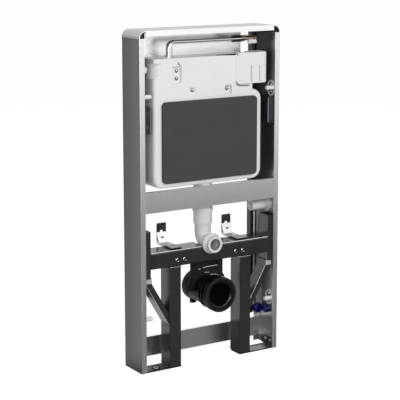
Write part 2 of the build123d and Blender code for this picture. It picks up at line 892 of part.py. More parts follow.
# Drain connector: straight socket through the frame, with ribs, a rear flange, a clip under it
# and a wider pocket for the seal in its mouth
pocket_end = -drain_reach + seal_pocket_length
with BuildPart() as drain_body:
    with BuildSketch(section(0)):
        with BuildLine():
            Polyline(
                (-drain_back, drain_height + drain_bore_radius),
                (-drain_back, drain_height + drain_rear_radius),
                (-drain_back - drain_rear_length, drain_height + drain_rear_radius),
                (-drain_back - drain_rear_length, drain_height + drain_body_radius),
                (-drain_reach + drain_mouth_length, drain_height + drain_body_radius),
                (-drain_reach + drain_mouth_length, drain_height + drain_mouth_radius),
                (-drain_reach, drain_height + drain_mouth_radius),
                (-drain_reach, drain_height + seal_pocket_radius),
                (pocket_end, drain_height + seal_pocket_radius),
                (pocket_end, drain_height + drain_bore_radius),
                close=True,
            )
        make_face()
    revolve(axis=Axis((0, 0, drain_height), (0, 1, 0)))
    for rib in range(drain_rib_count):
        with BuildSketch(elevation(drain_rib_start + drain_rib_pitch * rib)):
            with Locations((0, drain_height)):
                Circle(drain_rib_radius)
                Circle((drain_bore_radius + drain_body_radius) / 2, mode=Mode.SUBTRACT)
        extrude(amount=drain_rib_thickness)
    with BuildSketch(elevation(drain_back)):
        with Locations((drain_clip_offset, drain_height - drain_body_radius)):
            Rectangle(drain_clip_width, 2 * drain_clip_drop)
        with Locations((0, drain_height)):
            Circle((drain_bore_radius + drain_body_radius) / 2, mode=Mode.SUBTRACT)
    extrude(amount=drain_clip_length)
drain_body.part.label = "drain_body"
export_step(drain_body.part, "parts/drain_body.step")

# Rubber seal in the pocket of the drain connector
with BuildPart() as drain_seal:
    with BuildSketch(elevation(drain_reach - seal_setback - seal_length)):
        with Locations((0, drain_height)):
            Circle(seal_pocket_radius)
            Circle(seal_radius, mode=Mode.SUBTRACT)
    extrude(amount=seal_length)
drain_seal.part.label = "drain_seal"
export_step(drain_seal.part, "parts/drain_seal.step")

# Drain holder: a plate hung from the bearing bar that widens to a saddle over the connector,
# with a slot and a folded lip
with BuildPart() as drain_holder:
    with BuildSketch(elevation(holder_front - holder_thickness)):
        with Locations((0, (drain_height + bar_bottom) / 2)):
            Rectangle(2 * holder_half_width, bar_bottom - drain_height)
        with BuildLine():
            CenterArc((0, drain_height), holder_ring_radius, 0, 180)
            Line((-holder_ring_radius, drain_height), (holder_ring_radius, drain_height))
        make_face()
        with Locations((0, drain_height)):
            Circle(drain_body_radius, mode=Mode.SUBTRACT)
        with Locations((holder_slot_offset, bar_bottom - holder_slot_below_bar)):
            Rectangle(holder_slot_width, holder_slot_height, mode=Mode.SUBTRACT)
    extrude(amount=holder_thickness)
    with BuildSketch(elevation(holder_front)):
        with Locations((holder_lip_offset, bar_bottom - holder_lip_below_bar)):
            Rectangle(holder_lip_width, holder_lip_height)
    extrude(amount=holder_lip_reach)
drain_holder.part.label = "drain_holder"
export_step(drain_holder.part, "parts/drain_holder.step")


def panel_hook(side, height):
    """Oval base with a rim on the side panel, an arm beside it and the pin that holds the front."""
    ring_height = height - hook_ring_drop
    arm_back = hook_base_depth + hook_base_width / 2 - hook_rim_width / 2
    arm_front = hook_pin_depth + hook_pin_radius + hook_arm_shoulder
    with BuildPart() as hook:
        with BuildSketch(section(side * inner_face)):
            with Locations((-hook_base_depth, ring_height)):
                Ellipse(hook_base_width / 2, hook_base_height / 2)
        extrude(amount=-side * hook_base_thickness)
        with BuildSketch(section(side * inner_face)):
            with Locations((-hook_base_depth, ring_height)):
                Ellipse(hook_base_width / 2, hook_base_height / 2)
                Ellipse(
                    hook_base_width / 2 - hook_rim_width,
                    hook_base_height / 2 - hook_rim_width,
                    mode=Mode.SUBTRACT,
                )
        extrude(amount=-side * hook_rim_height)
        with BuildSketch(section(side * inner_face)):
            with Locations((-(arm_back + arm_front) / 2, height)):
                RectangleRounded(arm_front - arm_back, hook_arm_height, hook_arm_corner)
        extrude(amount=-side * hook_arm_thickness)
        with BuildSketch(section(side * inner_face)):
            with Locations((-hook_pin_depth, height)):
                Circle(hook_pin_radius)
        extrude(amount=-side * hook_reach)
        tip = hook.edges().group_by(Axis.X)[0 if side > 0 else -1]
        chamfer(tip, hook_pin_tip)
    return hook


right_lower_hook = panel_hook(1, lower_pin_height)
right_lower_hook.part.label = "right_lower_hook"
export_step(right_lower_hook.part, "parts/right_lower_hook.step")

right_upper_hook = panel_hook(1, upper_pin_height)
right_upper_hook.part.label = "right_upper_hook"
export_step(right_upper_hook.part, "parts/right_upper_hook.step")

left_lower_hook = panel_hook(-1, lower_pin_height)
left_lower_hook.part.label = "left_lower_hook"
export_step(left_lower_hook.part, "parts/left_lower_hook.step")

left_upper_hook = panel_hook(-1, upper_pin_height)
left_upper_hook.part.label = "left_upper_hook"
export_step(left_upper_hook.part, "parts/left_upper_hook.step")


def side_clamp(side):
    """Dark clamp block on the side panel, with a shallow recess down its inner face."""
    clamp_top = housing_height - clamp_below_top
    clamp_bottom = clamp_top - clamp_height
    clamp_face = side * (inner_face - clamp_reach)
    with BuildPart() as clamp:
        with BuildSketch(level(clamp_bottom)):
            with Locations((side * (inner_face - clamp_reach / 2), -clamp_front + clamp_depth / 2)):
                RectangleRounded(clamp_reach, clamp_depth, clamp_corner)
        extrude(amount=clamp_height)
        with BuildSketch(section(clamp_face)):
            with Locations((-clamp_front + clamp_depth / 2, (clamp_top + clamp_bottom) / 2)):
                Rectangle(clamp_depth - 2 * clamp_recess_margin, clamp_height - 2 * clamp_recess_margin)
        extrude(amount=side * clamp_recess_depth, mode=Mode.SUBTRACT)
    return clamp


right_side_clamp = side_clamp(1)
right_side_clamp.part.label = "right_side_clamp"
export_step(right_side_clamp.part, "parts/right_side_clamp.step")

left_side_clamp = side_clamp(-1)
left_side_clamp.part.label = "left_side_clamp"
export_step(left_side_clamp.part, "parts/left_side_clamp.step")

# Supply pipe: a moulded elbow on the cistern lid that narrows to the thin pipe along the top
bend_start = supply_height - elbow_bend_radius
bend_end = supply_elbow_x + elbow_bend_radius
half_bend = elbow_bend_radius / sqrt(2)
elbow_middle = Plane(
    origin=(bend_end - half_bend, wall - supply_depth, bend_start + half_bend),
    x_dir=(0, 1, 0),
    z_dir=(1, 0, 1),
)
with BuildPart() as supply_pipe:
    with BuildSketch(level(lid_top)):
        with Locations((supply_elbow_x, -supply_depth)):
            Circle(supply_elbow_radius)
    extrude(amount=bend_start - lid_top)
    with BuildSketch(level(lid_top)):
        with Locations((supply_elbow_x, -supply_depth)):
            Circle(supply_collar_radius)
    extrude(amount=supply_collar_height)
    with BuildSketch(level(bend_start)):
        with Locations((supply_elbow_x, -supply_depth)):
            Circle(supply_elbow_radius)
    with BuildSketch(elbow_middle):
        Circle(elbow_middle_radius)
    with BuildSketch(section(bend_end)):
        with Locations((-supply_depth, supply_height)):
            Circle(supply_pipe_radius)
    loft()
    with BuildSketch(section(bend_end)):
        with Locations((-supply_depth, supply_height)):
            Circle(supply_pipe_radius)
            Circle(supply_pipe_radius - supply_wall, mode=Mode.SUBTRACT)
    extrude(amount=pipe_end - bend_end)
    with BuildLine(elevation(supply_depth)):
        Line((supply_elbow_x, lid_top), (supply_elbow_x, bend_start))
        CenterArc((bend_end, bend_start), elbow_bend_radius, 180, -90)
    with BuildSketch(level(lid_top)):
        with Locations((supply_elbow_x, -supply_depth)):
            Circle(supply_pipe_radius - supply_wall)
    sweep(mode=Mode.SUBTRACT)
supply_pipe.part.label = "supply_pipe"
export_step(supply_pipe.part, "parts/supply_pipe.step")

# Union nut on the end of the supply pipe, a black sleeve that is open to the front
with BuildPart() as supply_nut:
    with BuildSketch(section(pipe_end - clip_length)):
        with Locations((-supply_depth, supply_height)):
            Circle(clip_outer_radius)
            Circle(supply_pipe_radius, mode=Mode.SUBTRACT)
            Rectangle(
                2 * clip_outer_radius,
                clip_mouth,
                align=(Align.MAX, Align.CENTER),
                mode=Mode.SUBTRACT,
            )
    extrude(amount=clip_length)
supply_nut.part.label = "supply_nut"
export_step(supply_nut.part, "parts/supply_nut.step")

# Angle valve: faceted ring, round body and the branch that turns back to the wall
valve_end = pipe_end + valve_ring_length + valve_body_length
with BuildPart() as angle_valve:
    with BuildSketch(section(pipe_end)):
        with Locations((-supply_depth, supply_height)):
            RegularPolygon(valve_ring_radius, valve_ring_sides)
    extrude(amount=valve_ring_length)
    with BuildSketch(section(pipe_end + valve_ring_length)):
        with Locations((-supply_depth, supply_height)):
            Circle(valve_body_radius)
    extrude(amount=valve_body_length)
    with BuildSketch(elevation(supply_depth)):
        with Locations((valve_end - valve_body_radius, supply_height)):
            Circle(valve_body_radius)
    extrude(amount=-(supply_depth - sheet))
angle_valve.part.label = "angle_valve"
export_step(angle_valve.part, "parts/angle_valve.step")

# Ribbed knob of the angle valve, below and in front of its body, on a short neck
knob_height = supply_height - knob_drop
knob_depth = supply_depth + sqrt((knob_radius + valve_body_radius) ** 2 - knob_drop**2)
knob_start = valve_end - knob_gap_to_end - knob_length
with BuildPart() as valve_knob:
    with BuildSketch(section(knob_start)):
        with Locations((-knob_depth, knob_height)):
            Circle(knob_radius)
        with Locations((-knob_depth, knob_height)):
            with PolarLocations(knob_radius, knob_ribs):
                Circle(knob_radius / 8, mode=Mode.SUBTRACT)
    extrude(amount=knob_length)
    with BuildSketch(section(knob_start + (knob_length - knob_neck) / 2)):
        with BuildLine():
            Polyline(
                (-knob_depth, knob_height),
                (-supply_depth, supply_height),
                (-supply_depth - valve_body_radius, supply_height),
                (-knob_depth - knob_radius / 2, knob_height + knob_radius / 2),
                close=True,
            )
        make_face()
        with Locations((-supply_depth, supply_height)):
            Circle(valve_body_radius, mode=Mode.SUBTRACT)
    extrude(amount=knob_neck)
valve_knob.part.label = "valve_knob"
export_step(valve_knob.part, "parts/valve_knob.step")

# Feed-through on the right side panel
with BuildPart() as feed_through:
    with BuildSketch(section(inner_face)):
        with Locations((-feed_depth, feed_height)):
            Circle(feed_flange_radius)
    extrude(amount=-feed_flange_thickness)
    with BuildSketch(section(inner_face)):
        with Locations((-feed_depth, feed_height)):
            Circle(feed_radius)
    extrude(amount=-feed_reach)
    with BuildSketch(section(inner_face)):
        with Locations((-feed_depth, feed_height)):
            Circle(feed_radius - feed_wall)
    extrude(amount=-feed_reach, mode=Mode.SUBTRACT)
feed_through.part.label = "feed_through"
export_step(feed_through.part, "parts/feed_through.step")

# Protective caps: one on the foot of the right rail, one on the right side panel
with BuildPart() as rail_cap:
    with BuildSketch(elevation(sheet + rail_depth)):
        with Locations((inner_face - cap_from_panel, rail_bottom + cap_above_rail)):
            Circle(cap_radius)
    extrude(amount=cap_length)
    chamfer(rail_cap.faces().sort_by(Axis.Y)[0].edges(), cap_slope)
rail_cap.part.label = "rail_cap"
export_step(rail_cap.part, "parts/rail_cap.step")

with BuildPart() as panel_cap:
    with BuildSketch(section(inner_face)):
        with Locations((-panel_cap_depth, panel_cap_height)):
            Circle(panel_cap_radius)
    extrude(amount=-cap_length)
    chamfer(panel_cap.faces().sort_by(Axis.X)[0].edges(), cap_slope)
panel_cap.part.label = "panel_cap"
export_step(panel_cap.part, "parts/panel_cap.step")
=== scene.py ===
"""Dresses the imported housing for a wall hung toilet: its finishes, its screws and small fittings,
and a plain pale studio with the camera."""
import logging
import math
from dataclasses import dataclass
from enum import Enum

import bmesh
import bpy
from mathutils import Matrix, Vector


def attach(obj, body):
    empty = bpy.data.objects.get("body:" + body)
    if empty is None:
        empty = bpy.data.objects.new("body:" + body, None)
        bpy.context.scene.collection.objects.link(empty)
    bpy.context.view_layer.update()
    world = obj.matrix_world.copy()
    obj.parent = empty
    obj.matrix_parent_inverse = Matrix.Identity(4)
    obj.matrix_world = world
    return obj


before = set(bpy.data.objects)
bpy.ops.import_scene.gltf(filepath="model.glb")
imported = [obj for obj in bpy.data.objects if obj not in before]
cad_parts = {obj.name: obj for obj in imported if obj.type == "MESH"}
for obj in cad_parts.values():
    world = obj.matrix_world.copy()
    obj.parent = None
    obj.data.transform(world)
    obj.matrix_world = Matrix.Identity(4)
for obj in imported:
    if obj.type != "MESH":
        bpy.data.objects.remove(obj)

log = logging.getLogger("frame_scene")

Tree = bpy.types.NodeTree
Node = bpy.types.Node
Socket = bpy.types.NodeSocket
Shape = bmesh.types.BMesh
Pair = tuple[float, float]
Point = tuple[float, float, float]

MM = 0.001
WALL = 0.0765  # the wall plane's Y; depths are measured from it to the room
NOISE_SPAN = (0.3, 0.7)  # the values of a noise between which its patches are told apart
CREASE = math.radians(35.0)  # the angle from which an edge stays sharp


def spot(across: float, depth: float, height: float) -> Vector:
    """Returns the point in metres for millimetres across, out from the wall and above the floor."""
    return Vector((across * MM, WALL - depth * MM, height * MM))


def linear(colour: str) -> tuple[float, float, float, float]:
    """Turns an sRGB hex colour into the linear colour that a shader takes.

    Args:
        colour: Six hex digits, with or without a leading #.

    Returns:
        Red, green, blue and an alpha of 1.
    """
    digits = colour.lstrip("#")
    channels = [int(digits[i:i + 2], 16) / 255 for i in (0, 2, 4)]
    lin = [c / 12.92 if c <= 0.04045 else ((c + 0.055) / 1.055) ** 2.4 for c in channels]
    return (lin[0], lin[1], lin[2], 1.0)


def add_node(tree: Tree, kind: str, settings: dict | None = None, links: dict | None = None) -> Node:
    """Adds a node with its settings and its incoming links.

    Args:
        tree: The node tree.
        kind: The node's type without its leading ShaderNode.
        settings: Values by name. A name in small letters is an attribute of the node, any other
            name or a number is one of its inputs.
        links: Output sockets by the name or number of the input that they feed.

    Returns:
        The new node.
    """
    node = tree.nodes.new("ShaderNode" + kind)
    for name, value in (settings or {}).items():
        if isinstance(name, str) and name[0].islower():
            setattr(node, name, value)
        else:
            node.inputs[name].default_value = value
    for name, socket in (links or {}).items():
        tree.links.new(socket, node.inputs[name])
    return node


def ramp(tree: Tree, value: Socket, span: Pair, result: Pair = (0.0, 1.0)) -> Socket:
    """Lets a result run between two numbers while a value runs between two others.

    Args:
        tree: The node tree.
        value: The value to follow.
        span: Where the value starts and ends. Beyond them the result stays as it is there.
        result: The result at that start and end.

    Returns:
        The result's socket.
    """
    return add_node(tree, "MapRange", {
        "From Min": span[0], "From Max": span[1], "To Min": result[0], "To Max": result[1],
    }, {"Value": value}).outputs["Result"]


def past_depth(tree: Tree, coordinates: Socket, first: float, last: float) -> Socket:
    """Returns a socket that rises from 0 to 1 between two depths in millimetres."""
    parts = add_node(tree, "SeparateXYZ", links={"Vector": coordinates})
    return ramp(tree, parts.outputs["Y"], (WALL - first * MM, WALL - last * MM))


def paint_over(tree: Tree, tone: Socket, colour: str, share: Socket) -> Socket:
    """Returns the tone after an sRGB hex colour has taken its place by a share from 0 to 1."""
    mix = add_node(tree, "Mix", {"data_type": "RGBA", 7: linear(colour)}, {0: share, 6: tone})
    return mix.outputs[2]


class Facing(Enum):
    """Where the axis of a fitting points."""

    ROOM = (0.0, -1.0, 0.0)
    LEFT = (-1.0, 0.0, 0.0)
    RIGHT = (1.0, 0.0, 0.0)
    UP = (0.0, 0.0, 1.0)

    def at(self, point: Vector) -> Matrix:
        """Returns the matrix that turns +Z to this direction and moves the origin to point."""
        turn = Vector((0.0, 0.0, 1.0)).rotation_difference(Vector(self.value))
        return Matrix.Translation(point) @ turn.to_matrix().to_4x4()


class Side(Enum):
    """The two sides of the housing seen from the room, with the sign of their X."""

    LEFT = -1
    RIGHT = 1

    @property
    def word(self) -> str:
        """The side's name as the nodes spell it."""
        return self.name.lower()

    @property
    def inward(self) -> Facing:
        """The direction from this side panel to the middle of the housing."""
        return Facing.RIGHT if self is Side.LEFT else Facing.LEFT

    def at(self, across: float, depth: float, height: float) -> Vector:
        """Returns the point in metres for millimetres from the middle to this side, out and up."""
        return spot(self.value * across, depth, height)


@dataclass(frozen=True)
class Finish:
    """A finish: how a surface was made, with its colour and gloss.

    Attributes:
        label: The material's name.
        slot: The record's material slot; not used.
        colour: The base colour in sRGB hex.
        roughness: The base roughness.
        metallic: 1 for bare metal.
        mottle: Share by which the colour varies, up and down.
        grain: Size of the bump's grain in millimetres.
        bump: Height of the grain in millimetres.
        specular: The specular level, 0.5 for most plastics and paints.
    """

    label: str
    slot: str
    colour: str
    roughness: float
    metallic: float = 0.0
    mottle: float = 0.04
    grain: float = 2.0
    bump: float = 0.02
    specular: float = 0.5

    def material(self) -> bpy.types.Material:
        """Returns the finish's material, which is made the first time that it is asked for."""
        found = bpy.data.materials.get(self.label)
        if found is not None:
            return found
        material = bpy.data.materials.new(self.label)
        material.use_nodes = True
        tree = material.node_tree
        tree.nodes.clear()
        shader = add_node(tree, "BsdfPrincipled", {
            "Base Color": linear(self.colour), "Roughness": self.roughness, "Metallic": self.metallic,
            "Specular IOR Level": self.specular,
        })
        coordinates = add_node(tree, "TexCoord").outputs["Object"]
        self.surface(tree, shader, coordinates)
        add_node(tree, "OutputMaterial", links={"Surface": shader.outputs["BSDF"]})
        return material

    def surface(self, tree: Tree, shader: Node, coordinates: Socket) -> None:
        """Adds the finish's own pattern between the coordinates and the shader."""
        self.vary(tree, shader, coordinates, self.grain * 12)
        self.raise_grain(tree, shader, coordinates)

    def vary(self, tree: Tree, shader: Node, coordinates: Socket, patch: float) -> None:
        """Lets colour and roughness drift in soft patches.

        Args:
            tree: The node tree.
            shader: The surface shader.
            coordinates: Where the pattern is read.
            patch: Size of a patch in millimetres.
        """
        noise = add_node(tree, "TexNoise", {"Scale": 1 / (patch * MM), "Detail": 3.0},
                         {"Vector": coordinates}).outputs["Fac"]
        self.spread(tree, shader, (noise, noise), NOISE_SPAN, (0.9, 1.12))

    def spread(self, tree: Tree, shader: Node, patterns: tuple[Socket, Socket],
               span: Pair, gloss: Pair) -> None:
        """Lets two patterns set the colour, by the mottle up and down, and the roughness.

        Args:
            tree: The node tree.
            shader: The surface shader.
            patterns: What sets the colour and what sets the roughness.
            span: The patterns' lowest and highest value.
            gloss: Share of the base roughness at the lowest and at the highest value.
        """
        lighter = ramp(tree, patterns[0], span, (1 - self.mottle, 1 + self.mottle))
        tint = add_node(tree, "VectorMath", {"operation": "SCALE", 0: linear(self.colour)[:3]},
                        {"Scale": lighter})
        rough = ramp(tree, patterns[1], span, (self.roughness * gloss[0], self.roughness * gloss[1]))
        tree.links.new(tint.outputs["Vector"], shader.inputs["Base Color"])
        tree.links.new(rough, shader.inputs["Roughness"])

    def raise_grain(self, tree: Tree, shader: Node, coordinates: Socket) -> None:
        """Adds the fine relief of the surface."""
        noise = add_node(tree, "TexNoise", {"Scale": 1 / (self.grain * MM), "Detail": 2.0},
                         {"Vector": coordinates})
        self.emboss(tree, shader, noise.outputs["Fac"])

    def emboss(self, tree: Tree, shader: Node, height: Socket) -> None:
        """Turns a pattern into relief of the bump's height."""
        relief = add_node(tree, "Bump", {"Strength": 1.0, "Distance": self.bump * MM},
                          {"Height": height})
        tree.links.new(relief.outputs["Normal"], shader.inputs["Normal"])


@dataclass(frozen=True)
class DrawnMetal(Finish):
    """Metal with the fine lines of rolling or brushing along one direction.

    Attributes:
        lay: How far the lines are stretched along X, Y and Z against their width.
        line: Width of a line in millimetres.
    """

    lay: tuple[float, float, float] = (1.0, 1.0, 60.0)
    line: float = 1.6

    def surface(self, tree: Tree, shader: Node, coordinates: Socket) -> None:
        """Stretches a noise into lines and lets them change colour, gloss and relief."""
        scale = tuple(1 / (self.line * MM * stretch) for stretch in self.lay)
        mapping = add_node(tree, "Mapping", {"Scale": scale}, {"Vector": coordinates})
        lines = add_node(tree, "TexNoise", {"Scale": 1.0, "Detail": 2.0},
                         {"Vector": mapping.outputs["Vector"]}).outputs["Fac"]
        self.spread(tree, shader, (lines, lines), NOISE_SPAN, (0.85, 1.15))
        self.emboss(tree, shader, lines)


@dataclass(frozen=True)
class HousingSheet(DrawnMetal):
    """Anodised sheet, pale on the faces toward the room and a darker satin outside, where painted shade
    deepens toward the wall.

    Attributes:
        front: Colour of the faces that look to the room, in sRGB hex.
        front_depth: Depth in millimetres beyond which a face counts as a front.
        painted_shade: Share by which the outside is darkened from its front edge to the wall, as painted
            shade.
        inside: Colour of the faces that look into the housing, in sRGB hex.
        outer_face: Distance in millimetres from the middle beyond which a face counts as outside.
    """

    front: str = "#EDEDED"
    front_depth: float = 100.0
    painted_shade: float = 0.45
    inside: str = "#B2B3B4"
    outer_face: float = 240.0

    def surface(self, tree: Tree, shader: Node, coordinates: Socket) -> None:
        """Draws the brushed lines, sets the pale fronts against the darker outside and paints shade on the
        outside toward the wall.
        """
        super().surface(tree, shader, coordinates)
        brushed = shader.inputs["Base Color"].links[0].from_socket
        parts = add_node(tree, "SeparateXYZ", links={"Vector": coordinates})
        # Painted shade: the outside is darkened from its front edge toward the wall.
        painted_shade_factor = ramp(tree, parts.outputs["Y"], (WALL - self.front_depth * MM, WALL), (1.0, 1 - self.painted_shade))
        outside = add_node(tree, "VectorMath", {"operation": "SCALE"},
                           {0: brushed, "Scale": painted_shade_factor})
        across = add_node(tree, "Math", {"operation": "ABSOLUTE"}, {0: parts.outputs["X"]})
        is_outside = ramp(tree, across.outputs["Value"],
                          ((self.outer_face - 0.4) * MM, (self.outer_face + 0.4) * MM))
        sides = add_node(tree, "Mix", {"data_type": "RGBA", 6: linear(self.inside)},
                         {0: is_outside, 7: outside.outputs["Vector"]})
        is_front = past_depth(tree, coordinates, self.front_depth, self.front_depth + 0.8)
        tree.links.new(paint_over(tree, sides.outputs[2], self.front, is_front),
                       shader.inputs["Base Color"])


@dataclass(frozen=True)
class SpangledZinc(Finish):
    """Hot dip zinc on sheet: flat crystals, a few millimetres wide, that differ a little in tone."""

    def surface(self, tree: Tree, shader: Node, coordinates: Socket) -> None:
        """Gives each crystal its own tone and gloss."""
        crystals = add_node(tree, "TexVoronoi", {"Scale": 1 / (self.grain * MM)},
                            {"Vector": coordinates})
        tone = add_node(tree, "SeparateColor", links={"Color": crystals.outputs["Color"]})
        self.spread(tree, shader, (tone.outputs["Red"], tone.outputs["Green"]), (0.0, 1.0), (0.96, 1.04))


@dataclass(frozen=True)
class PressedAngle(Finish):
    """Plated angle whose arm is coloured darker than its upright plate, in two steps by depth.

    Attributes:
        arms: Depths in millimetres from which the arm is darker, each with its colour in sRGB hex.
        blend: How far in millimetres a colour passes over before and after its depth.
    """

    arms: tuple[tuple[float, str], ...] = ((14.0, "#8E8F91"), (48.0, "#3A3B3C"))
    blend: float = 3.0

    def surface(self, tree: Tree, shader: Node, coordinates: Socket) -> None:
        """Tells the arm from the plate by its depth."""
        super().surface(tree, shader, coordinates)
        tone = shader.inputs["Base Color"].links[0].from_socket
        for depth, colour in self.arms:
            is_arm = past_depth(tree, coordinates, depth - self.blend, depth + self.blend)
            tone = paint_over(tree, tone, colour, is_arm)
        tree.links.new(tone, shader.inputs["Base Color"])


@dataclass(frozen=True)
class MouldedBore(Finish):
    """Moulded plastic with a gloss outside, a near black matt bore as painted shade and a paler rim at its
    mouth as painted light.

    Attributes:
        height: Height of the bore's axis in millimetres.
        bore: Radius up to which the wall is matt.
        depth: Colour of the matt wall in sRGB hex, near black as painted shade inside the bore.
        rim: Colour of the rim at the mouth in sRGB hex, paler as painted light.
        rim_depth: Depth in millimetres from which the wall counts as rim.
    """

    height: float = 217.7
    bore: float = 43.0
    depth: str = "#030303"
    rim: str = "#2B2B2B"
    rim_depth: float = 152.0

    def surface(self, tree: Tree, shader: Node, coordinates: Socket) -> None:
        """Paints shade into the bore, told by the distance from its axis, and light onto the rim, told by
        its depth.
        """
        self.raise_grain(tree, shader, coordinates)
        centred = add_node(tree, "Mapping", {
            "Location": (0.0, 0.0, -self.height * MM), "Scale": (1.0, 0.0, 1.0),
        }, {"Vector": coordinates})
        radius = add_node(tree, "VectorMath", {"operation": "LENGTH"},
                          {0: centred.outputs["Vector"]}).outputs["Value"]
        edge = (self.bore * MM, (self.bore + 0.5) * MM)
        outside = ramp(tree, radius, edge)
        rough = ramp(tree, radius, edge, (0.95, self.roughness))
        # Painted shade: the wall inside the bore turns near black.
        tone = add_node(tree, "Mix", {
            "data_type": "RGBA", 6: linear(self.depth), 7: linear(self.colour),
        }, {0: outside})
        # Painted light: the rim at the mouth is made paler.
        is_rim = past_depth(tree, coordinates, self.rim_depth - 0.5, self.rim_depth + 0.5)
        tree.links.new(paint_over(tree, tone.outputs[2], self.rim, is_rim), shader.inputs["Base Color"])
        tree.links.new(rough, shader.inputs["Roughness"])


@dataclass(frozen=True)
class CellFoam(Finish):
    """Closed cell foam: a matt skin with the faint outlines of its cells."""

    def surface(self, tree: Tree, shader: Node, coordinates: Socket) -> None:
        """Draws the cells as shallow dimples under a soft drift of tone."""
        self.vary(tree, shader, coordinates, 60.0)
        cells = add_node(tree, "TexVoronoi", {"Scale": 1 / (self.grain * MM)},
                         {"Vector": coordinates})
        self.emboss(tree, shader, cells.outputs["Distance"])


# Satin anodised aluminium sheet, brushed from foot to top: broad soft reflections, and a fine
# upright line where the light rakes it. The lines are drawn at 1.6 mm, coarser than the real
# 0.1 mm ones, so that they show.
# Its outside carries painted shade that darkens it toward the wall.
HOUSING = HousingSheet("satin_anodised_aluminium", "housing_sheet", "#656667", 0.34, 1.0, 0.03, bump=0.004)
# The same sheet on the top cover, where the brushing runs from left to right, with weaker painted shade
# toward the wall
TOP_SHEET = HousingSheet("satin_anodised_top_sheet", "housing_sheet", "#9B9C9D", 0.34, 1.0, 0.03,
                         bump=0.004, lay=(60.0, 1.0, 1.0), painted_shade=0.1, front="#FAFAFA")
# Polished aluminium sheet behind the cistern: mirrors the pale room, a little blurred
BACK_SHEET = DrawnMetal("polished_back_sheet", "housing_sheet", "#FAFAFA", 0.3, 1.0, 0.01, bump=0.002,
                        lay=(60.0, 1.0, 1.0))
# Bright galvanised sheet of the crossbars: blurred mirror with zinc crystals 7 mm wide
ZINC = SpangledZinc("galvanised_sheet", "zinc_sheet", "#F0F0F0", 0.3, 1.0, 0.015, 7.0)
# Black stove enamel on steel tube: near black and glossy, pale where it is seen at a slant
ENAMEL = Finish("black_stove_enamel", "frame_steel", "#2E2E2F", 0.2, 0.0, 0.05, 2.5, 0.02, 0.7)
# The darker inside of the rolled rails
RAIL = Finish("black_rolled_rail", "frame_steel", "#161617", 0.34, 0.0, 0.08, 2.5, 0.02)
# Bright steel of the gussets in the wall brackets, also the painted highlights along the edges of bar and
# braces
HIGHLIGHT_AND_GUSSET = Finish("ground_steel_edge", "chrome_bracket", "#E8E8E8", 0.5, 0.7, 0.03, 2.0, 0.01)
# Chrome plated steel of the wall brackets: mirrors floor and room, a little soft from the pressing
CHROME = PressedAngle("chrome_plated_steel", "chrome_bracket", "#D5D6D8", 0.12, 1.0, 0.03, 14.0, 0.04)
# Dark chromated steel of the floor plates: mirrors the room at a tenth of its brightness
CHROMATE = Finish("dark_chromated_steel", "chrome_bracket", "#5C5E60", 0.16, 1.0, 0.1, 9.0, 0.05)
# Zinc plated small parts, such as nuts and screws: bright and slightly rough
PLATED = Finish("zinc_plated_screw", "chrome_bracket", "#C3C4C6", 0.25, 1.0, 0.05, 1.0, 0.01)
# White polyethylene, blow moulded: soft gloss and a faint waviness of the wall
TANK = Finish("blow_moulded_polyethylene", "cistern_plastic", "#E6E6E6", 0.42, 0.0, 0.012, 9.0, 0.05)
# White ABS, injection moulded: flatter and a little glossier than the tank; also the white of the painted
# highlight rods on the drain
WHITE_ABS_AND_HIGHLIGHT = Finish("injection_moulded_abs", "hook_plastic", "#E2E2E2", 0.32, 0.0, 0.015, 2.0, 0.01)
# Off-white polypropylene of the flush pipe
FLUSH_PP = Finish("injection_moulded_polypropylene", "cistern_plastic", "#D9D9D8", 0.35, 0.0, 0.02, 3.0,
                  0.01)
# Mid grey rubber of the seal in the flush outlet and of the straps on the valve box
GREY_SEAL = Finish("grey_lip_seal", "seal_rubber", "#7C7C7C", 0.6, 0.0, 0.03, 2.0, 0.02)
# Dark grey polyethylene foam with a skin; cells drawn 3 mm wide, twice their size, so that they show
FOAM = CellFoam("skinned_polyethylene_foam", "pad_foam", "#3A3A3A", 0.75, 0.0, 0.03, 3.0, 0.03)
# Black polyethylene of the drain, injection moulded: soft gloss, matt and near black in its bore as painted
# shade, paler at its rim as painted light
BLACK_PE = MouldedBore("black_polyethylene", "black_plastic", "#0B0B0B", 0.32, 0.0, 0.08, 3.0, 0.02, 0.08)
# Matt black polyamide of the drain's holder, the supply nut, the gussets' slots and the dark marks; also
# black for painted shade on the corner blocks, behind the holder's slot and under the lid's edge and the
# flap
BLACK_PA_AND_SHADE = Finish("black_polyamide", "black_plastic", "#0F0F10", 0.5, 0.0, 0.08, 1.5, 0.02, 0.35)
# EPDM rubber of the drain's lip seal
RUBBER = Finish("moulded_epdm_rubber", "seal_rubber", "#121212", 0.2, 0.0, 0.08, 1.5, 0.01)
# Blue-black glass filled polyamide of the clamps, with a speckled gloss
CLAMP = Finish("glass_filled_polyamide", "clamp_plastic", "#12151D", 0.3, 0.0, 0.12, 4.0, 0.12)
# Dark blue polyethylene of the protective caps
CAP_BLUE = Finish("blue_cap_polyethylene", "cap_plastic", "#120B63", 0.22, 0.0, 0.05, 3.0, 0.01)
# Turned brass under a thin nickel plate: grey with a warm tinge
BRASS = Finish("nickel_plated_brass", "brass", "#A49C90", 0.24, 1.0, 0.05, 2.0, 0.01)
# Bare brass collar at the end of the valve
BARE_BRASS = Finish("turned_brass", "brass", "#9A7446", 0.3, 1.0, 0.05, 2.0, 0.01)
# Galvanised steel of the lower rail covers, satin and unpolished
COVER = DrawnMetal("satin_galvanised_cover", "zinc_sheet", "#B8B8B8", 0.5, 0.4, 0.02, bump=0.003)
# Grey ABS of the hooks' inserts and the clamps' rivets, also the dark rings of painted shade round the
# tank's screws
GREY_ABS_AND_SHADE = Finish("grey_moulded_abs", "hook_plastic", "#4A4A4B", 0.45, 0.0, 0.03, 1.5, 0.01)
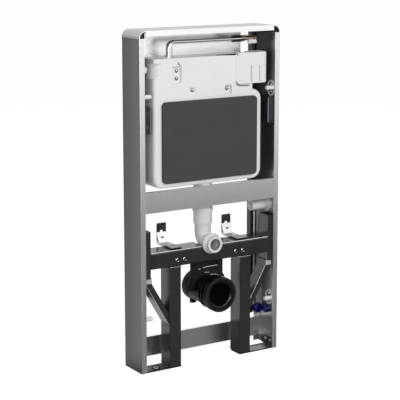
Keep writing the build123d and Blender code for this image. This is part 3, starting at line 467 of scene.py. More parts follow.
# Pale grey for painted light: the lit heads of the braces and the highlights on the clamps' edges
PAINTED_PALE_LIGHT = Finish("painted_pale_light", "hook_plastic", "#B4B4B4", 0.4, 0.0, 0.03, 2.0, 0.01)
# Polished stainless tube of the supply pipe
TUBE = DrawnMetal("polished_stainless_tube", "hook_plastic", "#DADADA", 0.16, 0.9, 0.02, bump=0.002,
                  lay=(60.0, 1.0, 1.0))


def dress(names: list[str], finish: Finish) -> None:
    """Gives CAD nodes a finish.

    Args:
        names: The nodes.
        finish: Their finish.
    """
    for name in names:
        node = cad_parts[name]
        for holder in node.material_slots:
            holder.material = finish.material()
        log.info("dressed %s in %s", name, finish.label)


def make_piece(name: str, shape: Shape, finish: Finish) -> None:
    """Turns a finished bmesh into a piece that rides on the frame.

    Args:
        name: The piece's name.
        shape: Its mesh, in metres and in place. It is freed.
        finish: Its finish.
    """
    bmesh.ops.remove_doubles(shape, verts=shape.verts, dist=1e-6)
    bmesh.ops.recalc_face_normals(shape, faces=shape.faces)
    for face in shape.faces:
        face.smooth = True
    for edge in shape.edges:
        edge.smooth = edge.calc_face_angle(0.0) < CREASE
    mesh = bpy.data.meshes.new(name)
    shape.to_mesh(mesh)
    shape.free()
    mesh.materials.append(finish.material())
    piece = bpy.data.objects.new(name, mesh)
    bpy.context.scene.collection.objects.link(piece)
    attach(piece, "root")
    log.info("built %s with %d faces", name, len(mesh.polygons))


def round_edges(shape: Shape, edges: list[bmesh.types.BMEdge], width: float) -> None:
    """Rounds edges by a width in millimetres."""
    bmesh.ops.bevel(shape, geom=edges, offset=width * MM, offset_type="OFFSET", segments=2,
                    profile=0.5, affect="EDGES", material=-1, clamp_overlap=True)


def add_block(shape: Shape, low: Vector, high: Vector, rounding: float = 0.0) -> None:
    """Adds a block between two corners in metres, its edges rounded by millimetres.

    Args:
        shape: The mesh that takes the block.
        low: One corner.
        high: The opposite corner.
        rounding: Width of the rounding in millimetres.
    """
    middle = (low + high) / 2
    size = high - low
    matrix = Matrix.Translation(middle) @ Matrix.Diagonal((abs(size.x), abs(size.y), abs(size.z), 1.0))
    made = bmesh.ops.create_cube(shape, size=1.0, matrix=matrix)
    if rounding:
        edges = list({edge for vert in made["verts"] for edge in vert.link_edges})
        round_edges(shape, edges, rounding)


def add_turned(shape: Shape, outline: tuple[Pair, ...], place: Matrix, steps: int = 32) -> None:
    """Adds a turned form by spinning its outline.

    Args:
        shape: The mesh that takes the form.
        outline: Points (radius, height along the axis) in millimetres.
        place: Where the axis stands; its +Z is the axis.
        steps: Faces round the axis.
    """
    verts = [shape.verts.new(place @ Vector((radius * MM, 0.0, height * MM))) for radius, height in outline]
    edges = [shape.edges.new(pair) for pair in zip(verts, verts[1:])]
    axis = (place.to_3x3() @ Vector((0.0, 0.0, 1.0))).normalized()
    bmesh.ops.spin(shape, geom=verts + edges, cent=place.translation, axis=axis, angle=math.tau,
                   steps=steps, use_merge=True)


def add_hexagon(shape: Shape, across_flats: float, bottom: float, top: float, place: Matrix,
                turn: float = 0.0) -> None:
    """Adds a hexagonal prism with rounded edges.

    Args:
        shape: The mesh that takes the prism.
        across_flats: Its width over the flats in millimetres.
        bottom: Height of its lower face along the axis in millimetres.
        top: Height of its upper face.
        place: Where the axis stands.
        turn: Turn about the axis in degrees.
    """
    radius = across_flats / math.sqrt(3.0) * MM
    matrix = (place @ Matrix.Translation((0, 0, (bottom + top) / 2 * MM))
              @ Matrix.Rotation(math.radians(turn), 4, "Z"))
    made = bmesh.ops.create_cone(shape, cap_ends=True, segments=6, radius1=radius, radius2=radius,
                                 depth=(top - bottom) * MM, matrix=matrix)
    edges = list({edge for vert in made["verts"] for edge in vert.link_edges})
    round_edges(shape, edges, 0.4)


def add_rod(shape: Shape, start: Vector, end: Vector, radius: float,
            end_radius: float | None = None) -> None:
    """Adds a thin round rod between two points in metres.

    Args:
        shape: The mesh that takes the rod.
        start: Its first end.
        end: Its other end.
        radius: Its radius in millimetres at the start.
        end_radius: Its radius at the end, or none for the same radius.
    """
    run = end - start
    turn = Vector((0.0, 0.0, 1.0)).rotation_difference(run.normalized())
    matrix = Matrix.Translation((start + end) / 2) @ turn.to_matrix().to_4x4()
    bmesh.ops.create_cone(shape, cap_ends=True, segments=12, radius1=radius * MM,
                          radius2=(radius if end_radius is None else end_radius) * MM, depth=run.length,
                          matrix=matrix)


def add_wire(shape: Shape, points: list[Vector], radius: float, end_radius: float | None = None) -> None:
    """Adds a rod from each point in metres to the next, with its radii in millimetres."""
    for start, end in zip(points, points[1:]):
        add_rod(shape, start, end, radius, end_radius)


def add_oval(shape: Shape, half_width: float, half_height: float, thickness: float,
             place: Matrix) -> None:
    """Adds a flat oval plate.

    Args:
        shape: The mesh that takes the plate.
        half_width: Half of its size along the place's X in millimetres.
        half_height: Half of its size along the place's Y.
        thickness: Its thickness along the place's Z.
        place: The middle of its lower face.
    """
    matrix = (place @ Matrix.Translation((0, 0, thickness / 2 * MM))
              @ Matrix.Diagonal((half_width * MM, half_height * MM, thickness * MM, 1.0)))
    bmesh.ops.create_cone(shape, cap_ends=True, segments=40, radius1=1.0, radius2=1.0, depth=1.0,
                          matrix=matrix)


@dataclass
class Fastener:
    """A pan head screw: a domed head with a round hollow for the driver.

    Attributes:
        head: Radius of the head in millimetres.
        height: Height of the head.
    """

    head: float
    height: float

    def add(self, shape: Shape, place: Matrix) -> None:
        """Adds the screw to a mesh.

        Args:
            shape: The mesh that takes the screw.
            place: The seat of its head; +Z points out of the surface.
        """
        head, height = self.head, self.height
        recess = 0.45 * head
        outline = (
            (0.001, 0.0), (head, 0.0), (head, 0.45 * height), (0.8 * head, 0.86 * height), (recess, height),
            (0.6 * recess, 0.45 * height), (0.001, 0.35 * height),
        )
        add_turned(shape, outline, place, 24)


@dataclass
class Housing:
    """The sheet metal housing with its cover, corner blocks and hanger plate."""

    def build(self) -> None:
        """Builds nothing, because every piece of the housing is in the CAD."""

    def dress(self) -> None:
        """Gives the sheets their finishes and the corner blocks black as painted shade."""
        dress(["left_side_panel", "right_side_panel"], HOUSING)
        dress(["top_cover"], TOP_SHEET)
        dress(["hanger_plate"], BACK_SHEET)
        # Painted shade: the black corner blocks stand for the dark inside of the housing's top corners.
        dress(["left_corner_block", "right_corner_block"], BLACK_PA_AND_SHADE)


@dataclass
class RearRails:
    """The slotted rails in the rear corners with the light strip in their slots.

    Attributes:
        inner_edge: Distance of the rail's inner edge from the middle.
        slot: Slot's edges, measured from the inner edge.
        bottom: Lower end of the rails.
        top: Upper end of the strips and covers.
        cover: Inner and outer edge of the covers, from the middle.
        front: Depth of the rails' fronts.
        strip: Depths of the strips' rear and front.
        overlap: How far a strip reaches past its slot on either side.
        sheet: Thickness of the covers.
    """

    inner_edge: float = 193.0
    slot: Pair = (10.5, 18.0)
    bottom: float = 99.0
    top: float = 440.0
    cover: Pair = (215.0, 238.6)
    front: float = 22.0
    strip: Pair = (18.5, 20.0)
    overlap: float = 1.5
    sheet: float = 0.8

    def build(self) -> None:
        """Builds the strip that lies inside each slot and the sheet that covers the rail beside it."""
        low, high = self.bottom + 1, self.top - 1
        for side in Side:
            shape = bmesh.new()
            inner, outer = (self.inner_edge + edge for edge in self.slot)
            add_block(shape, side.at(inner - self.overlap, self.strip[0], low),
                      side.at(outer + self.overlap, self.strip[1], high), 0.3)
            make_piece(f"{side.word}_rail_strip", shape, WHITE_ABS_AND_HIGHLIGHT)
            shape = bmesh.new()
            inner, outer = self.cover
            add_block(shape, side.at(inner, self.front, low),
                      side.at(outer, self.front + self.sheet, high), 0.2)
            make_piece(f"{side.word}_rail_cover", shape, COVER)

    def dress(self) -> None:
        """Gives the rails their finish."""
        dress(["left_rear_rail", "right_rear_rail"], RAIL)


@dataclass
class Steelwork:
    """The bearing bar with its studs' nuts, the uprights, legs, braces, feet and wall brackets.

    Attributes:
        studs: Distances of the stud holes from the middle.
        stud_height: Height of the stud holes.
        bar_front: Depth of the bar's front.
        leg: Inner and outer distance of a leg from the middle.
        leg_depths: Depths of a leg's rear and front.
        leg_top: Height of a leg's top.
        foot_hole: Distance and depth of the hole in a foot plate.
        foot_top: Height of the foot plate's top.
        tab_holes: Depths of the holes in a foot's tab.
        tab_height: Height of these holes.
        tab_face: Distance of the tab's inner face from the middle.
        bar_ends: Distances from the middle at which the bar's painted highlight starts and ends.
        bar_edge: Depth and height of that highlight.
        brace_front: Depth of the braces' fronts.
        brace_head: Inner and outer distance and lower and upper edge of the painted light on a brace's
            head.
        brace_edges: Distance and height of both ends of the painted highlight, on the left and on the right
            brace.
        bracket_middle: Distance of a wall bracket's middle from the middle.
        gusset: Depth and height of a gusset's upper edge and of its lower edge.
        gusset_half: Half of a gusset's width.
        nut: Outline of a stud nut, as radius and height before the bar's front.
        eyelet: Outline of a foot's eyelet.
        washer: Outline of the washer under a tab bolt.
        bolt: Width over flats, lower face, upper face and turn of a tab bolt's head.
        edging: Radii of the painted highlight on the bar and on a brace.
        oval: Half length, half width and thickness of a gusset's dark slot.
    """

    studs: tuple[float, ...] = (-115.0, -90.0, 90.0, 115.0)
    stud_height: float = 327.0
    bar_front: float = 99.0
    leg: Pair = (104.5, 143.0)
    leg_depths: Pair = (44.0, 99.0)
    leg_top: float = 308.5
    foot_hole: Pair = (180.5, 79.0)
    foot_top: float = 4.0
    tab_holes: Pair = (77.0, 49.0)
    tab_height: float = 16.5
    tab_face: float = 235.0
    bar_ends: Pair = (32.0, 205.0)
    bar_edge: Pair = (97.6, 357.2)
    brace_front: float = 93.0
    brace_head: tuple[float, ...] = (201.5, 221.0, 267.0, 282.5)
    brace_edges: tuple[Pair, ...] = ((222.0, 266.0), (143.0, 133.3), (201.0, 266.0), (143.0, 166.7))
    bracket_middle: float = 115.0
    gusset: tuple[float, ...] = (3.0, 393.0, 15.5, 363.5)
    gusset_half: float = 16.3
    nut: tuple[Pair, ...] = (
        (4.0, -14.0), (7.4, -14.0), (7.4, -3.0), (6.9, -2.6), (4.4, -0.4), (4.0, -0.6), (4.0, -14.0),
    )
    eyelet: tuple[Pair, ...] = ((4.4, 0.0), (7.6, 0.0), (7.4, 0.9), (5.2, 1.3), (4.4, 0.6), (4.4, 0.0))
    washer: tuple[Pair, ...] = ((0.001, 0.0), (6.2, 0.0), (6.2, 0.9), (0.001, 0.9))
    bolt: tuple[float, ...] = (9.0, 0.9, 4.4, 12.0)
    edging: Pair = (1.2, 0.6)
    oval: Point = (6.0, 2.2, 0.5)

    def build(self) -> None:
        """Builds the nuts, the plates on the legs, the eyelets, the tab bolts and the painted highlights on
        edges.
        """
        self.build_bar_highlight()
        for number, across in enumerate(self.studs, 1):
            self.build_stud_nut(number, across)
        for side in Side:
            self.build_leg_plate(side)
            self.build_foot_eyelet(side)
            self.build_tab_bolts(side)
            self.build_brace_lights(side)
            self.build_gusset(side)

    def build_bar_highlight(self) -> None:
        """Builds the painted highlight on the bearing bar's top front edge, left and right of its bend."""
        for side in Side:
            shape = bmesh.new()
            start, end = (side.at(across, *self.bar_edge) for across in self.bar_ends)
            # Painted highlight: a bright rod along the bar's edge.
            add_rod(shape, start, end, self.edging[0])
            make_piece(f"{side.word}_bar_highlight", shape, HIGHLIGHT_AND_GUSSET)

    def build_brace_lights(self, side: Side) -> None:
        """Builds the painted light on a brace's head and the painted highlight along its front edge."""
        # Painted light: a pale plate stands for the lit, upward-facing end of the brace.
        shape = bmesh.new()
        inner, outer, low, high = self.brace_head
        add_block(shape, side.at(inner, self.brace_front, low),
                  side.at(outer, self.brace_front + 1.6, high), 0.5)
        make_piece(f"{side.word}_brace_head_light", shape, PAINTED_PALE_LIGHT)
        # Painted highlight: a bright rod along the brace's front edge.
        shape = bmesh.new()
        first, last = self.brace_edges[:2] if side is Side.LEFT else self.brace_edges[2:]
        depth, radius = self.brace_front - 0.2, self.edging[1]
        add_rod(shape, side.at(first[0] - radius, depth, first[1]),
                side.at(last[0] + radius, depth, last[1]), radius)
        make_piece(f"{side.word}_brace_highlight", shape, HIGHLIGHT_AND_GUSSET)

    def build_gusset(self, side: Side) -> None:
        """Builds the slanted gusset in the bend of a wall bracket, with its dark slot."""
        shape = bmesh.new()
        middle = side.value * self.bracket_middle
        back, top, front, low = self.gusset
        half = self.gusset_half
        corners = [spot(middle - half, back, top), spot(middle + half, back, top),
                   spot(middle + half, front, low), spot(middle - half, front, low)]
        face = shape.faces.new([shape.verts.new(corner) for corner in corners])
        bmesh.ops.solidify(shape, geom=[face], thickness=0.8 * MM)
        make_piece(f"{side.word}_bracket_gusset", shape, HIGHLIGHT_AND_GUSSET)
        shape = bmesh.new()
        slope = (corners[2] - corners[1]).normalized()
        out = slope.cross(Vector((1.0, 0.0, 0.0)))
        out = out if out.y < 0 else -out
        turn = Matrix((Vector((1.0, 0.0, 0.0)), slope, out)).transposed().to_4x4()
        if turn.determinant() < 0:
            turn = Matrix((Vector((-1.0, 0.0, 0.0)), slope, out)).transposed().to_4x4()
        seat = (corners[0] + corners[1] + corners[2] + corners[3]) / 4 + out * 0.6 * MM
        add_oval(shape, *self.oval, Matrix.Translation(seat) @ turn)
        make_piece(f"{side.word}_gusset_slot", shape, BLACK_PA_AND_SHADE)

    def build_stud_nut(self, number: int, across: float) -> None:
        """Builds the threaded nut behind one stud hole."""
        shape = bmesh.new()
        add_turned(shape, self.nut, Facing.ROOM.at(spot(across, self.bar_front, self.stud_height)), 24)
        make_piece(f"stud_nut_{number}", shape, PLATED)

    def build_leg_plate(self, side: Side) -> None:
        """Builds the bright edge of the plate between a leg and the bar."""
        shape = bmesh.new()
        inner, outer = self.leg
        rear, front = self.leg_depths
        add_block(shape, side.at(inner - 0.4, rear - 0.4, self.leg_top - 3.4),
                  side.at(outer + 0.4, front + 0.4, self.leg_top - 0.2), 0.3)
        make_piece(f"{side.word}_leg_plate", shape, PLATED)

    def build_foot_eyelet(self, side: Side) -> None:
        """Builds the eyelet pressed into a foot plate's hole."""
        shape = bmesh.new()
        add_turned(shape, self.eyelet, Facing.UP.at(side.at(*self.foot_hole, self.foot_top)), 32)
        make_piece(f"{side.word}_foot_eyelet", shape, PLATED)

    def build_tab_bolts(self, side: Side) -> None:
        """Builds the bolts that hold a foot's tab to the side panel."""
        shape = bmesh.new()
        for depth in self.tab_holes:
            place = side.inward.at(side.at(self.tab_face, depth, self.tab_height))
            add_turned(shape, self.washer, place, 24)
            width, low, high, turn = self.bolt
            add_hexagon(shape, width, low, high, place, turn)
        make_piece(f"{side.word}_tab_bolts", shape, PLATED)

    def dress(self) -> None:
        """Gives the steelwork its finishes."""
        dress(["bearing_bar", "left_upright", "right_upright", "left_leg", "right_leg", "left_brace",
               "right_brace"], ENAMEL)
        dress(["left_wall_bracket", "right_wall_bracket"], CHROME)
        dress(["left_foot_plate", "right_foot_plate"], CHROMATE)
        dress(["front_crossbar", "rear_crossbar"], ZINC)


@dataclass
class Cistern:
    """The tank with its lid, valve box and pad, the screws in its pockets, the straps and the marks.

    Attributes:
        screws: Distance from the middle, depth of the seat and height of each screw.
        ring: Outline of the dark ring round a screw, painted shade of its recess.
        marks: Name, points and both radii of each small dark mark on the front: a mark at the neck, a latch
            and two rods of painted shade.
        straps: Distances of the valve box's strap grooves from the middle.
        strap_points: Points along a groove, measured across from its upper end.
        strap_radius: Radius of a strap.
    """

    screws: tuple[Point, ...] = (
        (-107.0, 79.0, 880.6), (-107.0, 79.0, 858.4), (-58.0, 85.0, 822.0), (67.0, 77.0, 819.0),
    )
    ring: tuple[Pair, ...] = ((4.3, 0.0), (5.8, 0.0), (5.8, 0.9), (4.3, 0.9), (4.3, 0.0))
    marks: tuple[tuple[str, tuple[Point, ...], float, float], ...] = (
        # Painted shade: the first and the last rod stand for the dark gap at the lid's top edge and the
        # shadow under the flap.
        ("lid_gap_shade", ((24.0, 87.6, 919.0), (90.0, 87.6, 918.2)), 0.8, 2.4),
        ("neck_mark", ((-108.0, 89.6, 905.0), (-101.5, 89.6, 896.0)), 1.1, 1.1),
        ("box_latch", ((93.5, 93.2, 921.0), (97.0, 93.2, 914.0)), 1.6, 0.6),
        ("flap_shadow",
         ((91.0, 93.8, 838.5), (94.5, 93.8, 829.6), (108.0, 92.6, 826.4), (138.0, 91.6, 825.0)), 1.2, 1.2),
    )
    straps: Pair = (143.6, 173.8)
    strap_points: tuple[Point, ...] = (
        (0.0, 92.3, 884.0), (0.0, 92.3, 842.5), (1.2, 92.3, 838.4), (4.2, 92.3, 835.2),
    )
    strap_radius: float = 1.25

    def build(self) -> None:
        """Builds the screws with their rings of painted shade, the straps in the grooves and the dark
        marks.
        """
        fastener = Fastener(4.2, 3.0)
        for number, point in enumerate(self.screws, 1):
            place = Facing.ROOM.at(spot(*point))
            shape = bmesh.new()
            fastener.add(shape, place)
            make_piece(f"tank_screw_{number}", shape, PLATED)
            # Painted shade: a dark ring round the screw stands for its shaded recess.
            shape = bmesh.new()
            add_turned(shape, self.ring, place, 24)
            make_piece(f"tank_screw_recess_{number}", shape, GREY_ABS_AND_SHADE)
        for number, across in enumerate(self.straps, 1):
            shape = bmesh.new()
            points = [spot(across + right, depth, height) for right, depth, height in self.strap_points]
            add_wire(shape, points, self.strap_radius)
            make_piece(f"box_strap_{number}", shape, GREY_SEAL)
        for name, points, radius, end_radius in self.marks:
            shape = bmesh.new()
            add_wire(shape, [spot(*point) for point in points], radius, end_radius)
            make_piece(name, shape, BLACK_PA_AND_SHADE)

    def dress(self) -> None:
        """Gives the tank and the pieces on it their finishes."""
        dress(["cistern_body", "cistern_lid", "valve_box"], TANK)
        dress(["cistern_pad"], FOAM)


@dataclass
class FlushPipe:
    """The flush socket and bend with the grey lip seal inside the outlet.

    Attributes:
        height: Height of the outlet's axis.
        reach: Depth of the outlet's mouth.
        seal: Outline of the seal, as radius and height before the mouth.
    """

    height: float = 363.6
    reach: float = 122.0
    seal: tuple[Pair, ...] = (
        (17.4, -1.2), (17.4, -8.8), (15.8, -8.8), (15.2, -5.0), (16.4, -1.2), (17.4, -1.2),
    )

    def build(self) -> None:
        """Builds the lip seal behind the rim of the outlet."""
        shape = bmesh.new()
        add_turned(shape, self.seal, Facing.ROOM.at(spot(0.0, self.reach, self.height)), 48)
        make_piece("outlet_lip_seal", shape, GREY_SEAL)

    def dress(self) -> None:
        """Gives socket and bend their finish."""
        dress(["flush_socket", "flush_bend"], FLUSH_PP)


@dataclass
class Drain:
    """The drain connector with its seal and holder, the bright clip on the holder, rods of painted
    highlight and a plate of painted shade in the holder's slot.

    Attributes:
        slot: Left, right, lower and upper edge of the holder's slot.
        plate: Depths of the rear and the front of the black plate behind the slot, painted shade.
        clip: Steps of the clip: left end, right end and height.
        clip_depths: Depths of the clip's rear and front.
        clip_height: Height of a step.
        wires: Ends of the thin rods between the holder and the connector that stand for painted highlights.
        wire_radius: Radius of these wires.
        height: Height of the connector's axis.
        lip: Outline of the seal's lip as radius and depth, a closed curve.
    """

    slot: tuple[float, float, float, float] = (9.5, 38.5, 285.0, 307.0)
    plate: tuple[float, float] = (69.4, 70.9)
    clip: tuple[tuple[float, float, float], ...] = (
        (-29.5, -15.6, 281.8), (-14.5, -3.3, 284.6), (-4.5, 37.0, 286.2),
    )
    clip_depths: tuple[float, float] = (74.0, 76.6)
    clip_height: float = 1.3
    wires: tuple[tuple[Point, Point], ...] = (
        ((-8.4, 76.4, 270.0), (7.3, 76.4, 268.9)), ((5.3, 86.0, 264.3), (42.4, 86.0, 244.0)),
        ((5.3, 86.0, 264.3), (24.7, 86.0, 262.0)), ((24.7, 86.0, 262.0), (37.0, 86.0, 256.0)),
        ((37.0, 86.0, 256.0), (42.4, 86.0, 244.0)), ((33.0, 77.6, 251.5), (48.0, 76.4, 246.5)),
    )
    wire_radius: float = 0.8
    height: float = 217.7
    lip: tuple[Pair, ...] = (
        (43.0, 147.0), (42.4, 149.2), (40.6, 150.6), (38.4, 150.6), (36.6, 149.2), (36.0, 147.0),
        (36.6, 144.8), (38.4, 143.4), (40.6, 143.4), (42.4, 144.8), (43.0, 147.0),
    )

    def build(self) -> None:
        """Builds the plate of painted shade behind the slot, the stepped clip, the rods of painted
        highlight and the lip of the seal.
        """
        # Painted shade: a black plate behind the slot makes the opening read dark.
        shape = bmesh.new()
        left, right, low, high = self.slot
        add_block(shape, spot(left, self.plate[0], low), spot(right, self.plate[1], high), 0.2)
        make_piece("holder_slot_shade", shape, BLACK_PA_AND_SHADE)
        shape = bmesh.new()
        rear, front = self.clip_depths
        for left, right, height in self.clip:
            add_block(shape, spot(left, rear, height), spot(right, front, height + self.clip_height))
        make_piece("holder_clip", shape, WHITE_ABS_AND_HIGHLIGHT)
        # Painted highlight: thin white rods stand for the glints on the drain's ribs and rim.
        shape = bmesh.new()
        for start, end in self.wires:
            add_rod(shape, spot(*start), spot(*end), self.wire_radius)
        make_piece("drain_highlight_wires", shape, WHITE_ABS_AND_HIGHLIGHT)
        shape = bmesh.new()
        add_turned(shape, self.lip, Facing.ROOM.at(spot(0.0, 0.0, self.height)), 64)
        make_piece("seal_lip", shape, RUBBER)

    def dress(self) -> None:
        """Gives the drain's pieces their finishes."""
        dress(["drain_body"], BLACK_PE)
        dress(["drain_holder"], BLACK_PA_AND_SHADE)
        dress(["drain_seal"], RUBBER)


@dataclass
class PanelHooks:
    """The four hooks for the front panel with their screws, the two clamps and the catch.

    Attributes:
        rings: Heights of the oval rings.
        depth: Depth of the rings' middle.
        face: Distance of the base's face from the middle.
        offset: Distance of a screw above or below the ring's middle.
        insert: Half width, half height and thickness of a ring's insert.
        clamp_edge: Distance, depth, lower and upper end of the painted highlight on a clamp's edge.
        rivets: Distance, depth and height of a clamp's rivets.
        rivet: Outline of a rivet.
        catch: Outline of the catch, as radius and height over the panel.
        catch_seat: Where the catch stands on the panel.
    """

    rings: tuple[tuple[str, float], ...] = (("lower", 156.0), ("upper", 808.0))
    depth: float = 65.0
    face: float = 236.0
    offset: float = 11.0
    insert: Point = (19.4, 12.4, 0.5)
    clamp_edge: tuple[float, ...] = (203.4, 96.4, 709.0, 782.0)
    rivets: tuple[Point, ...] = ((213.5, 97.0, 767.0), (213.5, 97.0, 728.0))
    rivet: tuple[Pair, ...] = ((2.6, 0.0), (4.4, 0.0), (4.2, 0.8), (2.8, 0.8), (2.6, 0.0))
    catch: tuple[Pair, ...] = (
        (0.001, 31.0), (6.0, 30.0), (11.0, 25.5), (14.0, 17.0), (15.0, 6.0), (15.0, 0.0), (0.001, 0.0),
    )
    catch_seat: Point = (-239.0, 84.0, 889.0)

    def build(self) -> None:
        """Builds the insert and two screws of each hook, the clamps' painted highlights and rivets, and the
        upper left catch.
        """
        self.build_catch()
        for side in Side:
            self.build_clamp_trim(side)
        fastener = Fastener(4.6, 2.6)
        for side in Side:
            for word, height in self.rings:
                shape = bmesh.new()
                for sign in (-1, 1):
                    seat = side.at(self.face, self.depth, height + sign * self.offset)
                    fastener.add(shape, side.inward.at(seat))
                make_piece(f"{side.word}_{word}_hook_screws", shape, PLATED)
                shape = bmesh.new()
                add_oval(shape, *self.insert, side.inward.at(side.at(self.face, self.depth, height)))
                make_piece(f"{side.word}_{word}_hook_insert", shape, GREY_ABS_AND_SHADE)

    def build_clamp_trim(self, side: Side) -> None:
        """Builds the painted highlight on a clamp's edge and the clamp's rivets."""
        across, depth, low, high = self.clamp_edge
        # Painted highlight: a pale rod along the clamp's edge.
        shape = bmesh.new()
        add_rod(shape, side.at(across, depth, low), side.at(across, depth, high), 0.7)
        make_piece(f"{side.word}_clamp_edge_highlight", shape, PAINTED_PALE_LIGHT)
        shape = bmesh.new()
        for rivet in self.rivets:
            add_turned(shape, self.rivet, Facing.ROOM.at(side.at(*rivet)), 24)
        make_piece(f"{side.word}_clamp_rivets", shape, GREY_ABS_AND_SHADE)

    def build_catch(self) -> None:
        """Builds the white domed catch high on the left side panel."""
        shape = bmesh.new()
        add_turned(shape, self.catch, Facing.RIGHT.at(spot(*self.catch_seat)), 32)
        make_piece("left_catch", shape, WHITE_ABS_AND_HIGHLIGHT)

    def dress(self) -> None:
        """Gives hooks and clamps their finishes."""
        dress([f"{side.word}_{word}_hook" for side in Side for word, _ in self.rings], WHITE_ABS_AND_HIGHLIGHT)
        dress(["left_side_clamp", "right_side_clamp"], CLAMP)


@dataclass
class WaterSupply:
    """The supply pipe, its nut, the angle valve with its knob, the side feed and the caps.

    Attributes:
        collar: Start of the brass collar on the valve, its depth and its height.
    """

    collar: Point = (168.0, 50.0, 960.5)

    def build(self) -> None:
        """Builds the brass collar at the valve's end."""
        shape = bmesh.new()
        outline = ((7.1, 0.0), (7.9, 0.5), (7.9, 12.5), (7.1, 13.0), (7.1, 0.0))
        add_turned(shape, outline, Facing.RIGHT.at(spot(*self.collar)), 32)
        make_piece("valve_collar", shape, BARE_BRASS)

    def dress(self) -> None:
        """Gives the supply's pieces their finishes."""
        dress(["supply_pipe"], TUBE)
        dress(["supply_nut"], BLACK_PA_AND_SHADE)
        dress(["angle_valve"], BRASS)
        dress(["valve_knob", "feed_through"], WHITE_ABS_AND_HIGHLIGHT)
        dress(["rail_cap", "panel_cap"], CAP_BLUE)


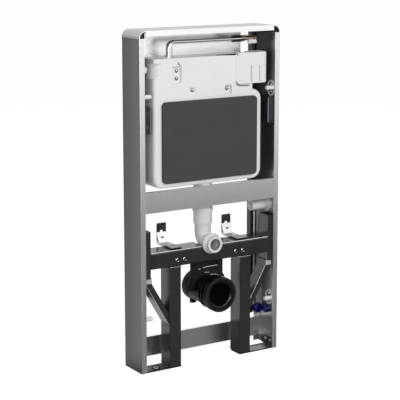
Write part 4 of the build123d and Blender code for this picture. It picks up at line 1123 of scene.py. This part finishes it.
@dataclass
class Studio:
    """The pale floor, the soft lamps, the white surround and the camera.

    Attributes:
        eye: The camera's place in metres.
        yaw: Its turn to the right from the line straight to the wall, in degrees.
        pitch: Its tilt down in degrees.
        lens: Its focal length in millimetres.
        shift: Its upward shift.
        ahead: Direction over the floor along which its painted mirror image darkens and brightens again.
        shades: Distances in metres along that direction, each with the brightness painted into the floor's
            mirror image.
        glow: Light of its own that the floor shows to the camera.
        paint: The floor's colour in sRGB hex.
        surround: Strength of the white surround as a light.
        lamps: Name, place in metres, side in metres and power in watts of each lamp.
        target: The point in metres that the lamps face.
    """

    eye: Point = (-2.0607, -3.2348, 1.2862)
    yaw: float = 32.18
    pitch: float = 10.684
    lens: float = 118.909
    shift: float = -0.06
    ahead: Point = (0.53, -0.85, 0.0)
    shades: tuple[Pair, ...] = (
        (-0.28, 1.0), (-0.1, 0.13), (0.6, 0.13), (1.5, 0.03), (2.3, 0.03), (3.6, 0.36), (4.5, 1.0),
    )
    glow: float = 0.78
    paint: str = "#C8C8C8"
    surround: float = 0.35
    lamps: tuple[tuple[str, Point, float, float], ...] = (
        ("key_lamp", (0.5, -3.4, 2.6), 1.8, 64.0), ("front_lamp", (-2.4, -2.9, 1.4), 1.6, 46.0),
    )
    target: Point = (0.0, 0.0, 0.55)

    def build(self) -> None:
        """Builds the whole studio."""
        self.build_floor()
        self.build_world()
        for name, place, size, power in self.lamps:
            self.build_lamp(name, place, size, power)
        self.build_camera()
        bpy.context.scene.view_settings.view_transform = "Standard"

    def white_to_eye(self, tree: Tree) -> Socket:
        """Returns 1 for rays from the camera, from gloss and through glass, and 0 for the rest."""
        path = add_node(tree, "LightPath")
        gloss = add_node(tree, "Math", {"operation": "MAXIMUM"},
                         {0: path.outputs["Is Camera Ray"], 1: path.outputs["Is Glossy Ray"]})
        both = add_node(tree, "Math", {"operation": "MAXIMUM"},
                        {0: gloss.outputs["Value"], 1: path.outputs["Is Transmission Ray"]})
        return both.outputs["Value"]

    def build_floor(self) -> None:
        """Builds the floor, which is white with the object's shadow to the eye."""
        shape = bmesh.new()
        bmesh.ops.create_grid(shape, x_segments=1, y_segments=1, size=30.0)
        mesh = bpy.data.meshes.new("studio_floor")
        shape.to_mesh(mesh)
        shape.free()
        floor = bpy.data.objects.new("studio_floor", mesh)
        bpy.context.scene.collection.objects.link(floor)
        mesh.materials.append(self.floor_material())

    def floor_material(self) -> bpy.types.Material:
        """Returns the floor's material: lit paint to the eye, painted tones of shade and light to gloss."""
        material = bpy.data.materials.new("pale_studio_floor")
        material.use_nodes = True
        tree = material.node_tree
        tree.nodes.clear()
        path = add_node(tree, "LightPath")
        eye = add_node(tree, "Math", {"operation": "MAXIMUM"},
                       {0: path.outputs["Is Camera Ray"], 1: path.outputs["Is Transmission Ray"]})
        glow = add_node(tree, "Math", {"operation": "MULTIPLY", 1: self.glow},
                        {0: eye.outputs["Value"]})
        paint = add_node(tree, "BsdfDiffuse", {"Color": linear(self.paint)})
        light = add_node(tree, "Emission", {"Color": (1, 1, 1, 1)},
                         {"Strength": glow.outputs["Value"]})
        lit = add_node(tree, "AddShader",
                       links={0: paint.outputs["BSDF"], 1: light.outputs["Emission"]})
        # Painted reflection: gloss sees the floor in painted tones, dark in front of the object and bright
        # further off.
        mirrored = add_node(tree, "Emission", {"Strength": 1.0}, {"Color": self.mirrored(tree)})
        both = add_node(tree, "MixShader", links={
            0: path.outputs["Is Glossy Ray"], 1: lit.outputs["Shader"], 2: mirrored.outputs["Emission"],
        })
        add_node(tree, "OutputMaterial", links={"Surface": both.outputs["Shader"]})
        return material

    def mirrored(self, tree: Tree) -> Socket:
        """Returns the painted tones of shade and light in the floor's mirror image, which change along one
        direction.
        """
        place = add_node(tree, "TexCoord").outputs["Object"]
        ahead = add_node(tree, "VectorMath", {"operation": "DOT_PRODUCT", 1: self.ahead},
                         {0: place}).outputs["Value"]
        start, end = self.shades[0][0], self.shades[-1][0]
        shades = add_node(tree, "ValToRGB", links={"Fac": ramp(tree, ahead, (start, end))})
        stops = shades.color_ramp.elements
        for distance, _ in self.shades[1:-1]:
            stops.new((distance - start) / (end - start))
        for stop, (_, tone) in zip(stops, self.shades):
            stop.color = (tone, tone, tone, 1.0)
        return shades.outputs["Color"]

    def build_world(self) -> None:
        """Builds the surround: white to look at, softer as a light."""
        world = bpy.data.worlds.new("studio_surround")
        bpy.context.scene.world = world
        world.use_nodes = True
        tree = world.node_tree
        tree.nodes.clear()
        strength = ramp(tree, self.white_to_eye(tree), (0.0, 1.0), (self.surround, 1.0))
        light = add_node(tree, "Background", {"Color": (1, 1, 1, 1)}, {"Strength": strength})
        add_node(tree, "OutputWorld", links={"Surface": light.outputs["Background"]})

    def build_lamp(self, name: str, place: Point, size: float, power: float) -> None:
        """Builds a square soft lamp that faces the object.

        Args:
            name: The lamp's name.
            place: Where it stands, in metres.
            size: Length of its side in metres.
            power: Its power in watts.
        """
        data = bpy.data.lights.new(name, "AREA")
        data.size = size
        data.energy = power
        lamp = bpy.data.objects.new(name, data)
        lamp.location = place
        aim = Vector(self.target) - Vector(place)
        lamp.rotation_euler = aim.to_track_quat("-Z", "Y").to_euler()
        bpy.context.scene.collection.objects.link(lamp)

    def build_camera(self) -> None:
        """Builds the camera at the photograph's place."""
        data = bpy.data.cameras.new("camera")
        data.lens = self.lens
        data.sensor_width = 36.0
        data.shift_y = self.shift
        camera = bpy.data.objects.new("camera", data)
        camera.location = self.eye
        camera.rotation_euler = (math.radians(90.0 - self.pitch), 0.0, math.radians(-self.yaw))
        bpy.context.scene.collection.objects.link(camera)
        bpy.context.scene.camera = camera


def main() -> None:
    """Builds and dresses the sub-assemblies in order."""
    logging.basicConfig(level=logging.INFO, format="%(message)s")
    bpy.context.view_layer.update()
    Studio().build()
    for assembly in (Housing(), RearRails(), Steelwork(), Cistern(), FlushPipe(), Drain(), PanelHooks(),
                     WaterSupply()):
        assembly.build()
        assembly.dress()
        log.info("finished %s", type(assembly).__name__)


if __name__ == "__main__":
    main()
